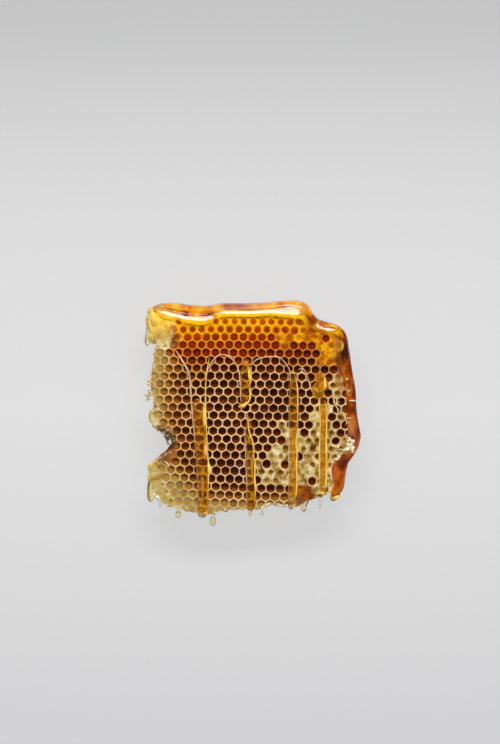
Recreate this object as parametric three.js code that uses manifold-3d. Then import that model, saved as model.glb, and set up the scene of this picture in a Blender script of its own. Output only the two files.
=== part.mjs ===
// A torn piece of natural honeycomb with honey over it, lying on its back.
//
// The wax comb is one body. The shown face has open six-sided cells that hold dark honey a little below
// their mouths, cells filled to the brim and a capped patch. The back is flat. Honey that has run down the
// face and hangs in drops from the lower edge is fused to the comb. A thick coat of honey, a body of its own,
// wraps the top edge and the right-hand side.
//
// Units are millimetres. X runs to the right and Y up the comb as it hung. Z points out of the shown face,
// and the back lies at Z = 0. The sizes below are drawn round the centre of cell [0, 0], and DRAWN_FROM moves
// them to the part's own origin, under the middle of its box.
import * as THREE from "three";
import { mergeVertices } from "three/addons/utils/BufferGeometryUtils.js";
import Module from "manifold-3d";

const wasm = await Module();
wasm.setup();

// Driving dimensions of the comb.
const CELL_PITCH = 5.3; // between the middles of two neighbouring cells
const LATTICE_TURN = THREE.MathUtils.degToRad(-1.5); // the rows fall a little to the right
const WALL = 1.0; // wax between two cells at their mouths
const COMB_THICK = 26;
const OPEN_DEPTH = 3.4; // down to the dark honey
const FILLED_DEPTH = 1; // a cell that is full nearly to the brim
const CAP_RISE = 0.6; // how far a wax capping stands proud
const DRAWN_FROM = new THREE.Vector2(0.63, 3.77);

// The shown face's outline, clockwise from the top left corner: x, y, and how far the back reaches beyond it.
const OUTLINE = [
  [-60.5, 55, 1.5], [-56.5, 57.5, 1.5], [-48, 57.5, 2], [-37.5, 56.5, 2], [-27, 56, 2], [-18.5, 57, 2.5],
  [0.5, 57, 2.5], [21, 58.5, 2.5], [28, 57.5, 2], [31, 54, 1.5], [34.5, 50.5, 1.5], [41, 48.4, 1.6],
  [48.3, 46.4, 1.4], [52.6, 40.5, 1.4], [53.4, 32, 2], [54, 21.5, 2.6], [55, 10, 3.4], [55, -2, 4],
  [55.5, -11, 4.8], [57, -18.8, 4.2], [57.5, -25, 1.2], [50.5, -29, 2.6], [47, -33.5, 3.6], [46.9, -40.5, 3],
  [47.6, -47, 1], [42, -51.3, 0.5],
  [31.5, -54.5, 0.5], [25, -58, 1], [17.5, -58, 0.5], [10.5, -56.5, 0.5], [4.5, -59, 0.5], [-6.5, -59.7, 0.5],
  [-18.5, -60.5, 0.5], [-27, -62.5, 0.5], [-36, -61.5, 0.5], [-47.5, -58, 0.5], [-57, -53.5, 0.5],
  [-61, -50, 0.5], [-61.5, -42.5, 0.5], [-60, -34.5, 1], [-55.5, -30, 1.5], [-50, -26.5, 2.5],
  [-46.5, -22, 3], [-48.5, -17, 2],
  [-55, -13.5, 0.5], [-59.5, -10, 0.5], [-61, -5.5, 0.5], [-59, 1, 0.5], [-59.5, 6.5, 0.5], [-61, 13.5, 0.5],
  [-60, 21.5, 0.5], [-58.5, 32, 0.5], [-57.5, 37.5, 0.5], [-60, 42.5, 0.5], [-62, 49, 1],
];
const SAMPLES_PER_POINT = 2;
// The comb's side, from the back up: height, share of the back's reach, and a step out (in, if negative)
// from that.
const SIDE = [[0, 1, -0.8], [1.2, 1, 0], [13, 1, 0], [25.2, 0, 0], [COMB_THICK, 0, -0.6]];

// The honey coat runs clockwise round the top and the right-hand side. At each stop: number of the outline
// point, thickness on the side, width of its lip on the face, and height of its crest above the face.
const COAT_GAP = 0.3; // clear of the wax
const COAT_FOOT = 0.7; // clear of the surface that the comb lies on
const COAT_LIP = 0.35; // thickness where it thins out on the face
const COAT_STOPS = [
  [0, 0.6, 4, 1.2], [1, 1.6, 6, 2.4], [3, 1.8, 7.5, 2.8], [6, 1.6, 7.5, 3.0], [8, 2.0, 6.5, 3.0],
  [9, 2.2, 5, 2.6], [10.5, 1.2, 4.6, 2.0], [12, 1, 4.4, 1.8], [13, 0.9, 2.4, 1.0], [14, 0.9, 2, 0.8],
  [15.6, 1, 2, 1.0], [17, 1.2, 1.2, 0.8], [19, 1.4, 1.2, 0.8], [20, 1.1, 1, 0.7], [20.4, 2.6, 1, 0.8],
  [21, 4.6, 1, 1.0], [22, 3.9, 1, 1.1], [23, 3.7, 1, 1.1], [24, 3.6, 1, 1.1], [24.5, 0.9, 0.5, 0.8],
];

// Honey that runs down the face. Each stop is x, y, height of the middle above the back, width and thickness.
const RUNS = [
  [[-34, 5, 25.8, 2.4, 1.2], [-33, 0, 26, 6, 2.2], [-31.6, -10, 26.1, 7.2, 2.6], [-31.2, -20, 26.1, 7.2, 2.8],
    [-30.4, -40, 26.1, 7, 2.9], [-30.2, -57, 26, 6, 3.2], [-30.5, -61, 24, 5.6, 3.2],
    [-30.6, -63.4, 19, 5, 3], [-30.6, -64.7, 12, 3.6, 2.4], [-30.6, -65.3, 7, 2, 1.6]],
  [[-5, 27, 25.9, 3, 1.4], [-5, 20, 26, 5.6, 2.2], [-5, 10, 26.1, 6, 2.4], [-5.4, 4, 26, 5, 2.2],
    [-7, 0.5, 26, 2.6, 1.4]],
  [[-3.6, -6, 25.9, 2, 1.2], [-3.4, -14, 26, 3.6, 1.8], [-2.6, -24, 26, 4, 2], [-2.1, -56, 26.1, 4.5, 2.4],
    [-2.3, -60.5, 23, 3.4, 2.4], [-2.5, -63, 16, 2.4, 2], [-2.6, -64.4, 9, 1.8, 1.6]],
  [[22, 20, 25.9, 2.6, 1.4], [22.6, 12, 26, 4.9, 2], [22.5, -8, 26.1, 4.9, 2.2], [22.4, -50, 26.1, 5, 2.6],
    [22, -55.5, 25, 4.6, 2.6], [21.7, -58.5, 20, 3.6, 2.4], [21.6, -60, 13, 2.4, 1.8]],
  [[38.8, 18, 25.9, 2.5, 1.2], [38.4, 14, 26.1, 6.5, 2.4], [37.4, 10.5, 26.3, 8, 3],
    [36.8, 7.5, 26.3, 6, 2.6], [36.6, 5.8, 26.2, 2.6, 1.6]],
  [[40.3, 6, 25.9, 2.6, 1.2], [40, 0, 26, 3.7, 1.8], [39.9, -30, 26.1, 3.8, 2.2], [39.6, -46, 26, 3.5, 2.2],
    [39.2, -49.5, 24, 2.7, 2.2], [38.9, -53.4, 20, 1.9, 1.8], [38.7, -56.4, 15, 1.6, 1.5],
    [38.7, -59.6, 10, 1.6, 1.5]],
];
const RUN_SIDES = 6;

// Drops that hang from the lower edge and the corners: x and y of the lowest point, height, radius and
// length.
const DROPS = [
  [-62.8, 35.8, 19, 1.6, 17.5], [-61.4, -55.6, 9, 2.4, 13], [-45, -65.4, 9, 1.9, 8],
  [-24.6, -70.3, 10, 1.7, 11.3], [29.4, -61.4, 11, 1.4, 8], [4.6, -64, 12, 0.9, 7], [-55.8, -59.5, 8, 0.9, 7],
];
const DROP_SIDES = 5;
// A drop's outline from its lowest point up: share of its radius, and share of its length.
const DROP_PROFILE = [[0, 0], [0.7, 0.06], [1, 0.22], [0.5, 0.5], [0.75, 1], [0, 1]];

// The capped and the brim-full patches on the face, as corners, and the cells that stay open inside them.
const CAPPED_PATCHES = [
  [[12.5, -6.5], [15.5, -12], [18, -19], [15, -22], [7, -26], [9, -29.5], [-1, -30], [-0.5, -35], [1.5, -36],
    [3.5, -43.5], [22, -44.2], [25, -54], [52, -52], [49, -29], [60, -25], [53, -14], [46, -12], [43, 0],
    [37, 3], [33, -2.5], [33, -12], [18.5, -12], [18, -7]],
  [[44.5, 18.5], [52, 18.5], [52.5, 12], [50, 5.5], [45.5, 6], [44, 12]],
];
const OPEN_IN_CAPPED = [[2, 6], [2, 9], [4, 3], [7, 4], [8, 3], [8, 2], [0, 7], [-2, 7]];
const FULL_PATCHES = [
  [[12, 43.1], [12, 38.4], [14.6, 38.4], [14.6, 33.8], [38.5, 33.8], [38.5, 29.1], [35, 29.1], [35, 24.4],
    [56, 24.4], [57, 45], [44.4, 49], [25.1, 52], [25.1, 43.1]],
  [[37.6, 18], [43, 18], [43, 5], [33, 5], [33, 8.5], [37.6, 8.5]],
];
const OPEN_IN_FULL = [[8, -8], [9, -8], [10, -8], [10, -7], [12, -9]];

const oneCellAt = (turn) => new THREE.Vector2(Math.cos(turn), Math.sin(turn)).multiplyScalar(CELL_PITCH);
const ALONG_ROW = oneCellAt(LATTICE_TURN);
const DOWN_ROW = oneCellAt(LATTICE_TURN - Math.PI / 3);
const LUMEN_RADIUS = (CELL_PITCH - WALL) / Math.sqrt(3);
const CELLS_EACH_WAY = 30;
// How far the rows of cells stray from an even lattice, to the right and up, as amounts of the terms in strayed.
const STRAY_X = [0.38, 0.51, 0.41, -0.32, 0.43, -0.15, -0.57, -0.38, 0.59, 0.01];
const STRAY_Y = [-0.38, 0.34, 0.29, -0.14, 0.76, -0.71, 0.77, -0.71, -0.49, 0.23];
const STRAY_REACH = 60; // the terms stay as they are beyond this far out

// A closed mesh from its positions and triangles, as a solid.
function solidOf(geometry) {
  const bare = new THREE.BufferGeometry().setAttribute("position", geometry.getAttribute("position"));
  bare.setIndex(geometry.getIndex());
  const merged = mergeVertices(bare, 1e-4);
  const mesh = new wasm.Mesh({
    numProp: 3,
    vertProperties: new Float32Array(merged.getAttribute("position").array),
    triVerts: new Uint32Array(merged.getIndex().array),
  });
  return new wasm.Manifold(mesh);
}

// A solid back as three.js geometry.
function geometryOf(solid) {
  const { vertProperties, triVerts } = solid.getMesh();
  const geometry = new THREE.BufferGeometry();
  geometry.setAttribute("position", new THREE.BufferAttribute(vertProperties, 3));
  geometry.setIndex(new THREE.BufferAttribute(triVerts, 1));
  return geometry;
}

// The triangles that close a flat ring, wound the way the ring runs.
function capOf(ring) {
  const runsBack = THREE.ShapeUtils.isClockWise(ring);
  return THREE.ShapeUtils.triangulateShape(ring, []).map(([a, b, c]) => {
    const turnsBack = THREE.ShapeUtils.isClockWise([ring[a], ring[b], ring[c]]);
    return turnsBack === runsBack ? [a, b, c] : [a, c, b];
  });
}

// Rings of as many points each, joined in order and closed at both ends by the given flat triangles.
function loft(rings, capTriangles) {
  const n = rings[0].length;
  const index = [];
  for (let k = 0; k + 1 < rings.length; k++) {
    for (let i = 0; i < n; i++) {
      const a = k * n + i;
      const b = k * n + ((i + 1) % n);
      index.push(a, b, b + n, a, b + n, a + n);
    }
  }
  const last = (rings.length - 1) * n;
  for (const [a, b, c] of capTriangles) {
    index.push(a, c, b, last + a, last + b, last + c);
  }
  const geometry = new THREE.BufferGeometry().setFromPoints(rings.flat());
  geometry.setIndex(index);
  const solid = solidOf(geometry);
  if (solid.volume() > 0) return solid;
  geometry.setIndex(index.reverse());
  return solidOf(geometry);
}

// The outline as stations with their place, outward direction and the back's reach.
function outlineStations() {
  const curve = new THREE.CatmullRomCurve3(OUTLINE.map((p) => new THREE.Vector3(...p)), true, "centripetal");
  const count = OUTLINE.length * SAMPLES_PER_POINT;
  return Array.from({ length: count }, (_, i) => {
    const { x, y, z } = curve.getPoint(i / count);
    const along = curve.getTangent(i / count);
    const out = new THREE.Vector2(-along.y, along.x).normalize();
    return { at: new THREE.Vector2(x, y), out, reach: z };
  });
}

const stations = outlineStations();
const place = ({ at, out }, distance, z) => {
  return new THREE.Vector3(at.x + out.x * distance, at.y + out.y * distance, z);
};
const outlinePoints = stations.map((s) => s.at);

// Distance from a point to a closed line of points, and whether the point lies inside it.
function nearness(point, line) {
  let distance = Infinity;
  let inside = false;
  line.forEach((a, i) => {
    const b = line[(i + 1) % line.length];
    const side = b.clone().sub(a);
    const share = THREE.MathUtils.clamp(point.clone().sub(a).dot(side) / side.lengthSq(), 0, 1);
    distance = Math.min(distance, a.clone().addScaledVector(side, share).distanceTo(point));
    const crosses = a.y > point.y !== b.y > point.y;
    if (crosses && point.x < a.x + ((b.x - a.x) * (point.y - a.y)) / (b.y - a.y)) inside = !inside;
  });
  return { distance, inside };
}

// The comb before its cells are cut.
function combBlank() {
  const rings = SIDE.map(([z, share, step]) => stations.map((s) => place(s, s.reach * share + step, z)));
  return loft(rings, capOf(outlinePoints));
}

// The coat's thickness, lip and crest at a station of the outline.
function coatAt(point) {
  const next = Math.max(1, COAT_STOPS.findIndex((stop) => stop[0] >= point));
  const [from, to] = [COAT_STOPS[next - 1], COAT_STOPS[next]];
  const share = (point - from[0]) / (to[0] - from[0]);
  const [, thickness, lip, crest] = from.map((value, k) => THREE.MathUtils.lerp(value, to[k], share));
  return { thickness, lip, crest };
}

const coatCount = COAT_STOPS.at(-1)[0] * SAMPLES_PER_POINT + 1;
const coatStations = stations.slice(0, coatCount).map((s, i) => ({ ...s, ...coatAt(i / SAMPLES_PER_POINT) }));

// The coat's section at a station: over the face and down the side, then back up a gap's width off the wax.
function coatSection({ reach, thickness, lip, crest }) {
  const floor = COMB_THICK + COAT_GAP;
  const outside = [
    [-lip, floor + COAT_LIP], [-lip * 0.75, floor + crest * 0.62], [-lip * 0.4, floor + crest],
    [-lip * 0.05, floor + crest * 0.8], [thickness * 0.7, COMB_THICK - 0.6],
    [reach * 0.4 + thickness, COMB_THICK - 6], [reach + thickness, 12.5], [reach + thickness, 3.5],
    [reach + thickness * 0.7, COAT_FOOT],
  ];
  const inside = [
    [reach + COAT_GAP, COAT_FOOT], [reach + COAT_GAP, 13], [COAT_GAP, 25.2], [COAT_GAP - 0.5, floor],
    [-lip, floor],
  ];
  return [...outside, ...inside];
}

function honeyCoat() {
  const rings = coatStations.map((s) => coatSection(s).map(([out, z]) => place(s, out, z)));
  const flat = coatSection(coatStations[0]).map(([out, z]) => new THREE.Vector2(out, z));
  return loft(rings, capOf(flat));
}

// One run of honey: an oval tube, half sunk in the face, through its stops.
function run(stops) {
  const points = stops.map(([x, y, z]) => new THREE.Vector3(x, y, z));
  const middle = new THREE.CatmullRomCurve3(points, false, "centripetal");
  const rings = stops.map(([, , , width, depth], i) => {
    const centre = points[i];
    const along = middle.getTangent(i / (stops.length - 1));
    const wide = new THREE.Vector3(1, 0, 0).addScaledVector(along, -along.x).normalize();
    const thick = wide.clone().cross(along);
    const ring = [];
    for (let k = 0; k < RUN_SIDES; k++) {
      const turn = (2 * Math.PI * k) / RUN_SIDES;
      const point = centre.clone().addScaledVector(wide, (Math.cos(turn) * width) / 2);
      ring.push(point.addScaledVector(thick, (Math.sin(turn) * depth) / 2));
    }
    return ring;
  });
  const cap = Array.from({ length: RUN_SIDES - 2 }, (_, k) => [0, k + 1, k + 2]);
  return loft(rings, cap);
}

// One hanging drop, its neck reaching into the comb.
function drop([x, y, z, radius, length]) {
  const profile = DROP_PROFILE.map(([r, h]) => new THREE.Vector2(r * radius, h * length));
  const geometry = new THREE.LatheGeometry(profile, DROP_SIDES);
  geometry.translate(x, y, z);
  return solidOf(geometry);
}

// A six-sided pocket or point with its corners up and down the comb, cut from or added to the face.
function sixSided(centre, bottomRadius, bottom, topRadius, top) {
  const geometry = new THREE.CylinderGeometry(topRadius, bottomRadius, top - bottom, 6);
  geometry.rotateX(Math.PI / 2).rotateZ(LATTICE_TURN).translate(centre.x, centre.y, (top + bottom) / 2);
  return solidOf(geometry);
}

// A place on the even lattice as the bees built it.
function strayed(even) {
  const u = THREE.MathUtils.clamp(even.x / STRAY_REACH, -1, 1);
  const v = THREE.MathUtils.clamp(even.y / STRAY_REACH, -1, 1);
  const terms = [1, u, v, u * u, u * v, v * v, u ** 3, u * u * v, u * v * v, v ** 3];
  const sum = (amounts) => terms.reduce((total, term, i) => total + term * amounts[i], 0);
  return new THREE.Vector2(even.x + sum(STRAY_X), even.y + sum(STRAY_Y));
}

const matches = (list, c, r) => list.some(([column, row]) => column === c && row === r);
const asPoints = (corners) => corners.map(([x, y]) => new THREE.Vector2(x, y));

// Cells that lie free of the coat and the runs, sorted by how they are finished.
function cells() {
  const capped = CAPPED_PATCHES.map(asPoints);
  const full = FULL_PATCHES.map(asPoints);
  const inOneOf = (p, patches) => patches.some((patch) => nearness(p, patch).inside);
  const found = { open: [], full: [], capped: [] };
  const lips = coatStations.map((s) => ({ at: s.at, lip: s.lip }));
  const underRun = (p) => RUNS.some((stops) => stops.slice(1).some(([x, y, , width], i) => {
    const [x0, y0, , width0] = stops[i];
    const a = new THREE.Vector2(x0, y0);
    const side = new THREE.Vector2(x, y).sub(a);
    const share = THREE.MathUtils.clamp(p.clone().sub(a).dot(side) / side.lengthSq(), 0, 1);
    const away = a.addScaledVector(side, share).distanceTo(p);
    return away < THREE.MathUtils.lerp(width0, width, share) / 2 + 0.8;
  }));
  for (let r = -CELLS_EACH_WAY; r <= CELLS_EACH_WAY; r++) {
    for (let c = -CELLS_EACH_WAY; c <= CELLS_EACH_WAY; c++) {
      const p = strayed(ALONG_ROW.clone().multiplyScalar(c).addScaledVector(DOWN_ROW, r));
      const { distance, inside } = nearness(p, outlinePoints);
      if (!inside || distance < 0.5) continue;
      if (lips.some((s) => s.at.distanceTo(p) < s.lip + LUMEN_RADIUS + 0.6)) continue;
      if (underRun(p)) continue;
      if (inOneOf(p, capped) && !matches(OPEN_IN_CAPPED, c, r)) found.capped.push(p);
      else if (inOneOf(p, full) && !matches(OPEN_IN_FULL, c, r)) found.full.push(p);
      else found.open.push(p);
    }
  }
  return found;
}

function comb() {
  const { open, full, capped } = cells();
  const above = COMB_THICK + 1;
  const pockets = [
    ...open.map((p) => sixSided(p, LUMEN_RADIUS * 0.92, COMB_THICK - OPEN_DEPTH, LUMEN_RADIUS, above)),
    ...full.map((p) => sixSided(p, LUMEN_RADIUS * 0.2, COMB_THICK - FILLED_DEPTH, LUMEN_RADIUS * 1.8, above)),
  ];
  const caps = capped.map((p) => sixSided(p, LUMEN_RADIUS, COMB_THICK - 0.4, 0, COMB_THICK + CAP_RISE));
  const wet = [...RUNS.map(run), ...DROPS.map(drop)];
  const cut = combBlank().subtract(wasm.Manifold.union(pockets));
  const whole = cut.add(wasm.Manifold.union(caps)).add(wasm.Manifold.union(wet));
  return whole.decompose().sort((a, b) => b.volume() - a.volume())[0];
}

const wax = new THREE.MeshStandardMaterial({ color: 0xd9a44a, roughness: 0.45, metalness: 0 });
const honey = new THREE.MeshStandardMaterial({ color: 0xd9820f, roughness: 0.08, metalness: 0 });

const part = new THREE.Group();
for (const [name, solid, material] of [["comb", comb(), wax], ["honey_coat", honeyCoat(), honey]]) {
  const mesh = new THREE.Mesh(geometryOf(solid), material);
  mesh.name = name;
  mesh.position.set(DRAWN_FROM.x, DRAWN_FROM.y, 0);
  part.add(mesh);
}

export default part;
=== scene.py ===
import math

import bmesh
import bpy
import numpy as np
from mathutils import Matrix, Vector, noise


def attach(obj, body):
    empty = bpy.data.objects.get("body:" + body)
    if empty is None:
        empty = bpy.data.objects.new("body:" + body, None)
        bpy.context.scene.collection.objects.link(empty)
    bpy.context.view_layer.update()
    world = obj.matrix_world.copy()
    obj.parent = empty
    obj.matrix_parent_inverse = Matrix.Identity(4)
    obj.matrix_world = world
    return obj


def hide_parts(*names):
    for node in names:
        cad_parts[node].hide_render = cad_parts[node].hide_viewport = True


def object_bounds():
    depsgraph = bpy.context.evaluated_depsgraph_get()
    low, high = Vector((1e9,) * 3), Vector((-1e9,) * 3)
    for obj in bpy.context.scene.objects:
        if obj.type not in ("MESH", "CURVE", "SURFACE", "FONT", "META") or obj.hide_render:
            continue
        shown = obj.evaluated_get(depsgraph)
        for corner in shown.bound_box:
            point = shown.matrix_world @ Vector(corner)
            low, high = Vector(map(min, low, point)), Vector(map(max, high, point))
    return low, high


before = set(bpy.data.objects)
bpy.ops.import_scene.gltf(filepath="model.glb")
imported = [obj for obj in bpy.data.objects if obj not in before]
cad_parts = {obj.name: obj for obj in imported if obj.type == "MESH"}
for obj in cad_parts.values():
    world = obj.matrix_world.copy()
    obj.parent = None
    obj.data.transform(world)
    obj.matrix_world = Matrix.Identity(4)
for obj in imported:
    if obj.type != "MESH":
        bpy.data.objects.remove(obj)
cad_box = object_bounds()

# Table, light and camera. The piece lies on a pale matt light table under a dim studio ceiling. A long soft
# box stands beyond its top edge, and the camera looks straight down on it.
MM = 0.001
TABLE_HALF_WIDTH = 1500 * MM
TABLE_DROP = 0.05 * MM  # how far the table lies below the piece, so that they share no plane
TABLE_TONE = (0.15, 0.15, 0.15, 1)
TABLE_GLOW = 1.0
# The table's glow, as shares of the way from its near edge to its far edge, and screen colours. It is
# brightest under the piece, painted light that fills the piece's shadow, and dimmer beyond the piece's top
# edge, painted shade that evens out the soft box's pool of light.
TABLE_TONES = [
    (0.0, (188, 188, 189)), (0.44, (192, 192, 193)), (0.46, (197, 197, 197)), (0.5, (203, 203, 203)),
    (0.524, (199, 199, 199)), (0.538, (194, 194, 194)), (0.551, (187, 187, 187)), (0.565, (176, 176, 176)),
    (0.577, (162, 162, 162)), (0.62, (150, 150, 151)), (1.0, (140, 140, 141)),
]
# The ceiling and walls, from the floor line (0.5) to straight above (1): the camera hangs in a darker patch.
CEILING_TONES = [
    (0.5, (84, 86, 90)), (0.62, (150, 153, 156)), (0.75, (196, 200, 204)), (0.9, (196, 200, 204)),
    (0.96, (110, 112, 114)), (1.0, (86, 88, 90)),
]
CEILING_STRENGTH = 1.0
SEEN_WALL = (0.42, 0.43, 0.44, 1)  # what the camera sees beyond the table
MIRRORED_WALL = (0.1, 0.09, 0.075, 1)  # what glossy surfaces mirror
BOX_PLACE = Vector((0, 0.62, 0.62))
BOX_WIDTH, BOX_HEIGHT, BOX_POWER = 800 * MM, 170 * MM, 6.5
COMB_THICK = 26 * MM
FACE_HEIGHT = cad_box[0].z + COMB_THICK
CAMERA_OVER_FACE = 1100 * MM
CAMERA_OFF_MIDDLE = Vector((-1.94, 24.42)) * MM
VIEW_TALL = 433.9 * MM  # what the view's long side takes in at the comb's face
SENSOR = 36  # millimetres across the camera's sensor


def select_only(*objects):
    """Leaves these objects selected, the first of them active, and no other."""
    bpy.ops.object.select_all(action="DESELECT")
    for thing in objects:
        thing.select_set(True)
    bpy.context.view_layer.objects.active = objects[0]


def new_material(name):
    """A material with nodes, its node tree and its Principled shader."""
    material = bpy.data.materials.new(name)
    material.use_nodes = True
    return material, material.node_tree, material.node_tree.nodes["Principled BSDF"]


def linear(red, green, blue):
    """A colour as a screen shows it, 0 to 255, as the light values that a shader takes."""
    shares = [value / 255 for value in (red, green, blue)]
    return (*[s / 12.92 if s <= 0.04045 else ((s + 0.055) / 1.055) ** 2.4 for s in shares], 1)


def place_on(tree):
    """The output of a place on the piece."""
    return tree.nodes.new("ShaderNodeTexCoord").outputs["Object"]


def tree_of(*given):
    """The node tree that holds the first output among these."""
    return next(value.id_data for value in given if isinstance(value, bpy.types.NodeSocket))


def feed(socket, given):
    """Feeds an input with an output, a number, a screen colour of three parts, or light values of four."""
    if isinstance(given, bpy.types.NodeSocket):
        socket.id_data.links.new(given, socket)
    elif isinstance(given, tuple) and len(given) == 3:
        socket.default_value = linear(*given)
    else:
        socket.default_value = given


def feed_all(node, values):
    """Feeds a node's inputs by their names."""
    for name, given in values.items():
        feed(node.inputs[name], given)


def axis_of(vector, axis):
    """The output of one part of a vector."""
    node = tree_of(vector).nodes.new("ShaderNodeSeparateXYZ")
    feed(node.inputs["Vector"], vector)
    return node.outputs[axis]


def share_of(value, low, high, start=0.0, end=1.0):
    """The output of a value brought from one range to another and held within it."""
    node = tree_of(value).nodes.new("ShaderNodeMapRange")
    feed_all(node, {"Value": value, "From Min": low, "From Max": high, "To Min": start, "To Max": end})
    return node.outputs["Result"]


def ramp_of(value, stops):
    """The output of a colour ramp. Each stop is a place from 0 to 1 and a screen colour."""
    node = tree_of(value).nodes.new("ShaderNodeValToRGB")
    elements = node.color_ramp.elements
    while len(elements) < len(stops):
        elements.new(0.5)
    for element, (place, colour) in zip(elements, stops):
        element.position = place
        element.color = linear(*colour)
    feed(node.inputs["Fac"], value)
    return node.outputs["Color"]


def mixed(share, first, second):
    """The output of two values or colours mixed, from the first at a share of 0 to the second at 1."""
    node = tree_of(share, first, second).nodes.new("ShaderNodeMix")
    node.data_type = "RGBA"
    feed_all(node, {"Factor": share, "A": first, "B": second})
    return node.outputs["Result"]


bpy.ops.object.select_all(action="DESELECT")
bpy.ops.mesh.primitive_plane_add(size=2 * TABLE_HALF_WIDTH, location=(0, 0, cad_box[0].z - TABLE_DROP))
table = bpy.context.object
table.name = "table"
material, tree, shader = new_material("pale matt table")
upward = share_of(axis_of(place_on(tree), "Y"), -TABLE_HALF_WIDTH, TABLE_HALF_WIDTH)
feed_all(shader, {"Base Color": TABLE_TONE, "Roughness": 0.9, "Emission Strength": TABLE_GLOW,
                  "Emission Color": ramp_of(upward, TABLE_TONES)})
table.data.materials.append(material)

world = bpy.data.worlds.new("studio")
bpy.context.scene.world = world
world.use_nodes = True
tree = world.node_tree
upward = axis_of(tree.nodes.new("ShaderNodeTexCoord").outputs["Generated"], "Z")
ray = tree.nodes.new("ShaderNodeLightPath").outputs
studio = mixed(ray["Is Glossy Ray"], ramp_of(share_of(upward, -1, 1), CEILING_TONES), MIRRORED_WALL)
feed_all(tree.nodes["Background"], {"Color": mixed(ray["Is Camera Ray"], studio, SEEN_WALL),
                                    "Strength": CEILING_STRENGTH})

bpy.ops.object.light_add(type="AREA", location=BOX_PLACE)
box = bpy.context.object
box.name = "top_soft_box"
box.data.shape = "RECTANGLE"
box.data.size = BOX_WIDTH
box.data.size_y = BOX_HEIGHT
box.data.energy = BOX_POWER
box.rotation_euler = (-BOX_PLACE).to_track_quat("-Z", "Y").to_euler()

bpy.ops.object.camera_add(location=(*CAMERA_OFF_MIDDLE, FACE_HEIGHT + CAMERA_OVER_FACE), rotation=(0, 0, 0))
camera = bpy.context.object
camera.data.sensor_width = SENSOR
camera.data.lens = SENSOR * CAMERA_OVER_FACE / VIEW_TALL
bpy.context.scene.camera = camera
bpy.context.scene.view_settings.view_transform = "Standard"

# The comb's two layers of cells. Bees build them of beeswax on both faces of one middle wall. Each layer is
# one cell repeated over the lattice, then finished cell by cell and torn off along the comb's outline.
CELL_PITCH = 5.3 * MM
CELL_CORNER = CELL_PITCH / math.sqrt(3)
DRAWN_ROUND = np.array(Vector((0.63, 3.77)) * MM)  # the middle of the first cell: flat places count from it
ROW_TURN = math.radians(-1.5)
ALONG_ROW = np.array([math.cos(ROW_TURN), math.sin(ROW_TURN)]) * CELL_PITCH
DOWN_ROW = np.array([math.cos(ROW_TURN - math.pi / 3), math.sin(ROW_TURN - math.pi / 3)]) * CELL_PITCH
COLUMNS_EACH_WAY = 20
ROWS_EACH_WAY = 13
# Rings of an open cell, from the crest between two cells to the floor: share of the cell's width, and depth.
OPEN_SHARES = [1.0, 0.93, 0.86, 0.82, 0.82, 0.45, 0.0]
OPEN_DEPTHS = [0.0, 0.08, 0.5, 1.2, 3.0, 3.2, 3.3]
FILLED_SHARE = 0.88  # how much of a cell's depth the honey fills at the top edge
ROUNDING = 0.6  # how far the rounded ring goes from six sides towards a circle
ROUNDED_RING = 2
SAME_PLACE = 0.01 * MM  # points nearer than this are one
# The same rings on a capped cell.
CAP_SHARES = [1.0, 0.84, 0.66, 0.5, 0.34, 0.17, 0.0]
CAP_DEPTHS = [0.0, -0.15, -0.1, 0.25, 0.6, 0.75, 0.8]
# The same on a cell that is full to the brim, with the shares of a capped one.
FULL_DEPTHS = [0.0, 0.05, 0.25, 0.4, 0.45, 0.5, 0.5]
# The shown face's outline, clockwise from the top left corner: x, y, and how far the back reaches beyond it.
OUTLINE = [
    (-60.5, 55, 1.5), (-56.5, 57.5, 1.5), (-48, 57.5, 2), (-37.5, 56.5, 2), (-27, 56, 2), (-18.5, 57, 2.5),
    (0.5, 57, 2.5), (21, 58.5, 2.5), (28, 57.5, 2), (31, 54, 1.5), (34.5, 50.5, 1.5), (41, 48.4, 1.6),
    (48.3, 46.4, 1.4), (52.6, 40.5, 1.4), (53.4, 32, 2.0), (54, 21.5, 2.6), (55, 10, 3.4), (55, -2, 4),
    (55.5, -11, 4.8), (57, -18.8, 4.2), (57.5, -25, 1.2), (50.5, -29, 2.6), (47, -33.5, 3.6),
    (46.9, -40.5, 3), (47.6, -47, 1), (42, -51.3, 0.5), (31.5, -54.5, 0.5), (25, -58, 1), (17.5, -58, 0.5),
    (10.5, -56.5, 0.5), (4.5, -59, 0.5), (-6.5, -59.7, 0.5), (-18.5, -60.5, 0.5), (-27, -62.5, 0.5),
    (-36, -61.5, 0.5), (-47.5, -58.5, 0.5), (-55, -54.5, 0.5), (-58.5, -51, 0.5), (-60.5, -43, 0.5),
    (-60, -34.5, 1), (-55.5, -30, 1.5), (-50, -26.5, 2.5), (-46.5, -22, 3), (-48.5, -17, 2),
    (-55, -13.5, 0.5), (-59.5, -10, 0.5), (-61, -5.5, 0.5), (-59, 1, 0.5), (-59.5, 6.5, 0.5),
    (-61, 13.5, 0.5), (-60, 21.5, 0.5), (-58.5, 32, 0.5), (-57.5, 37.5, 0.5), (-60, 42.5, 0.5), (-62, 49, 1),
]
STEPS_PER_POINT = 6
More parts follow.
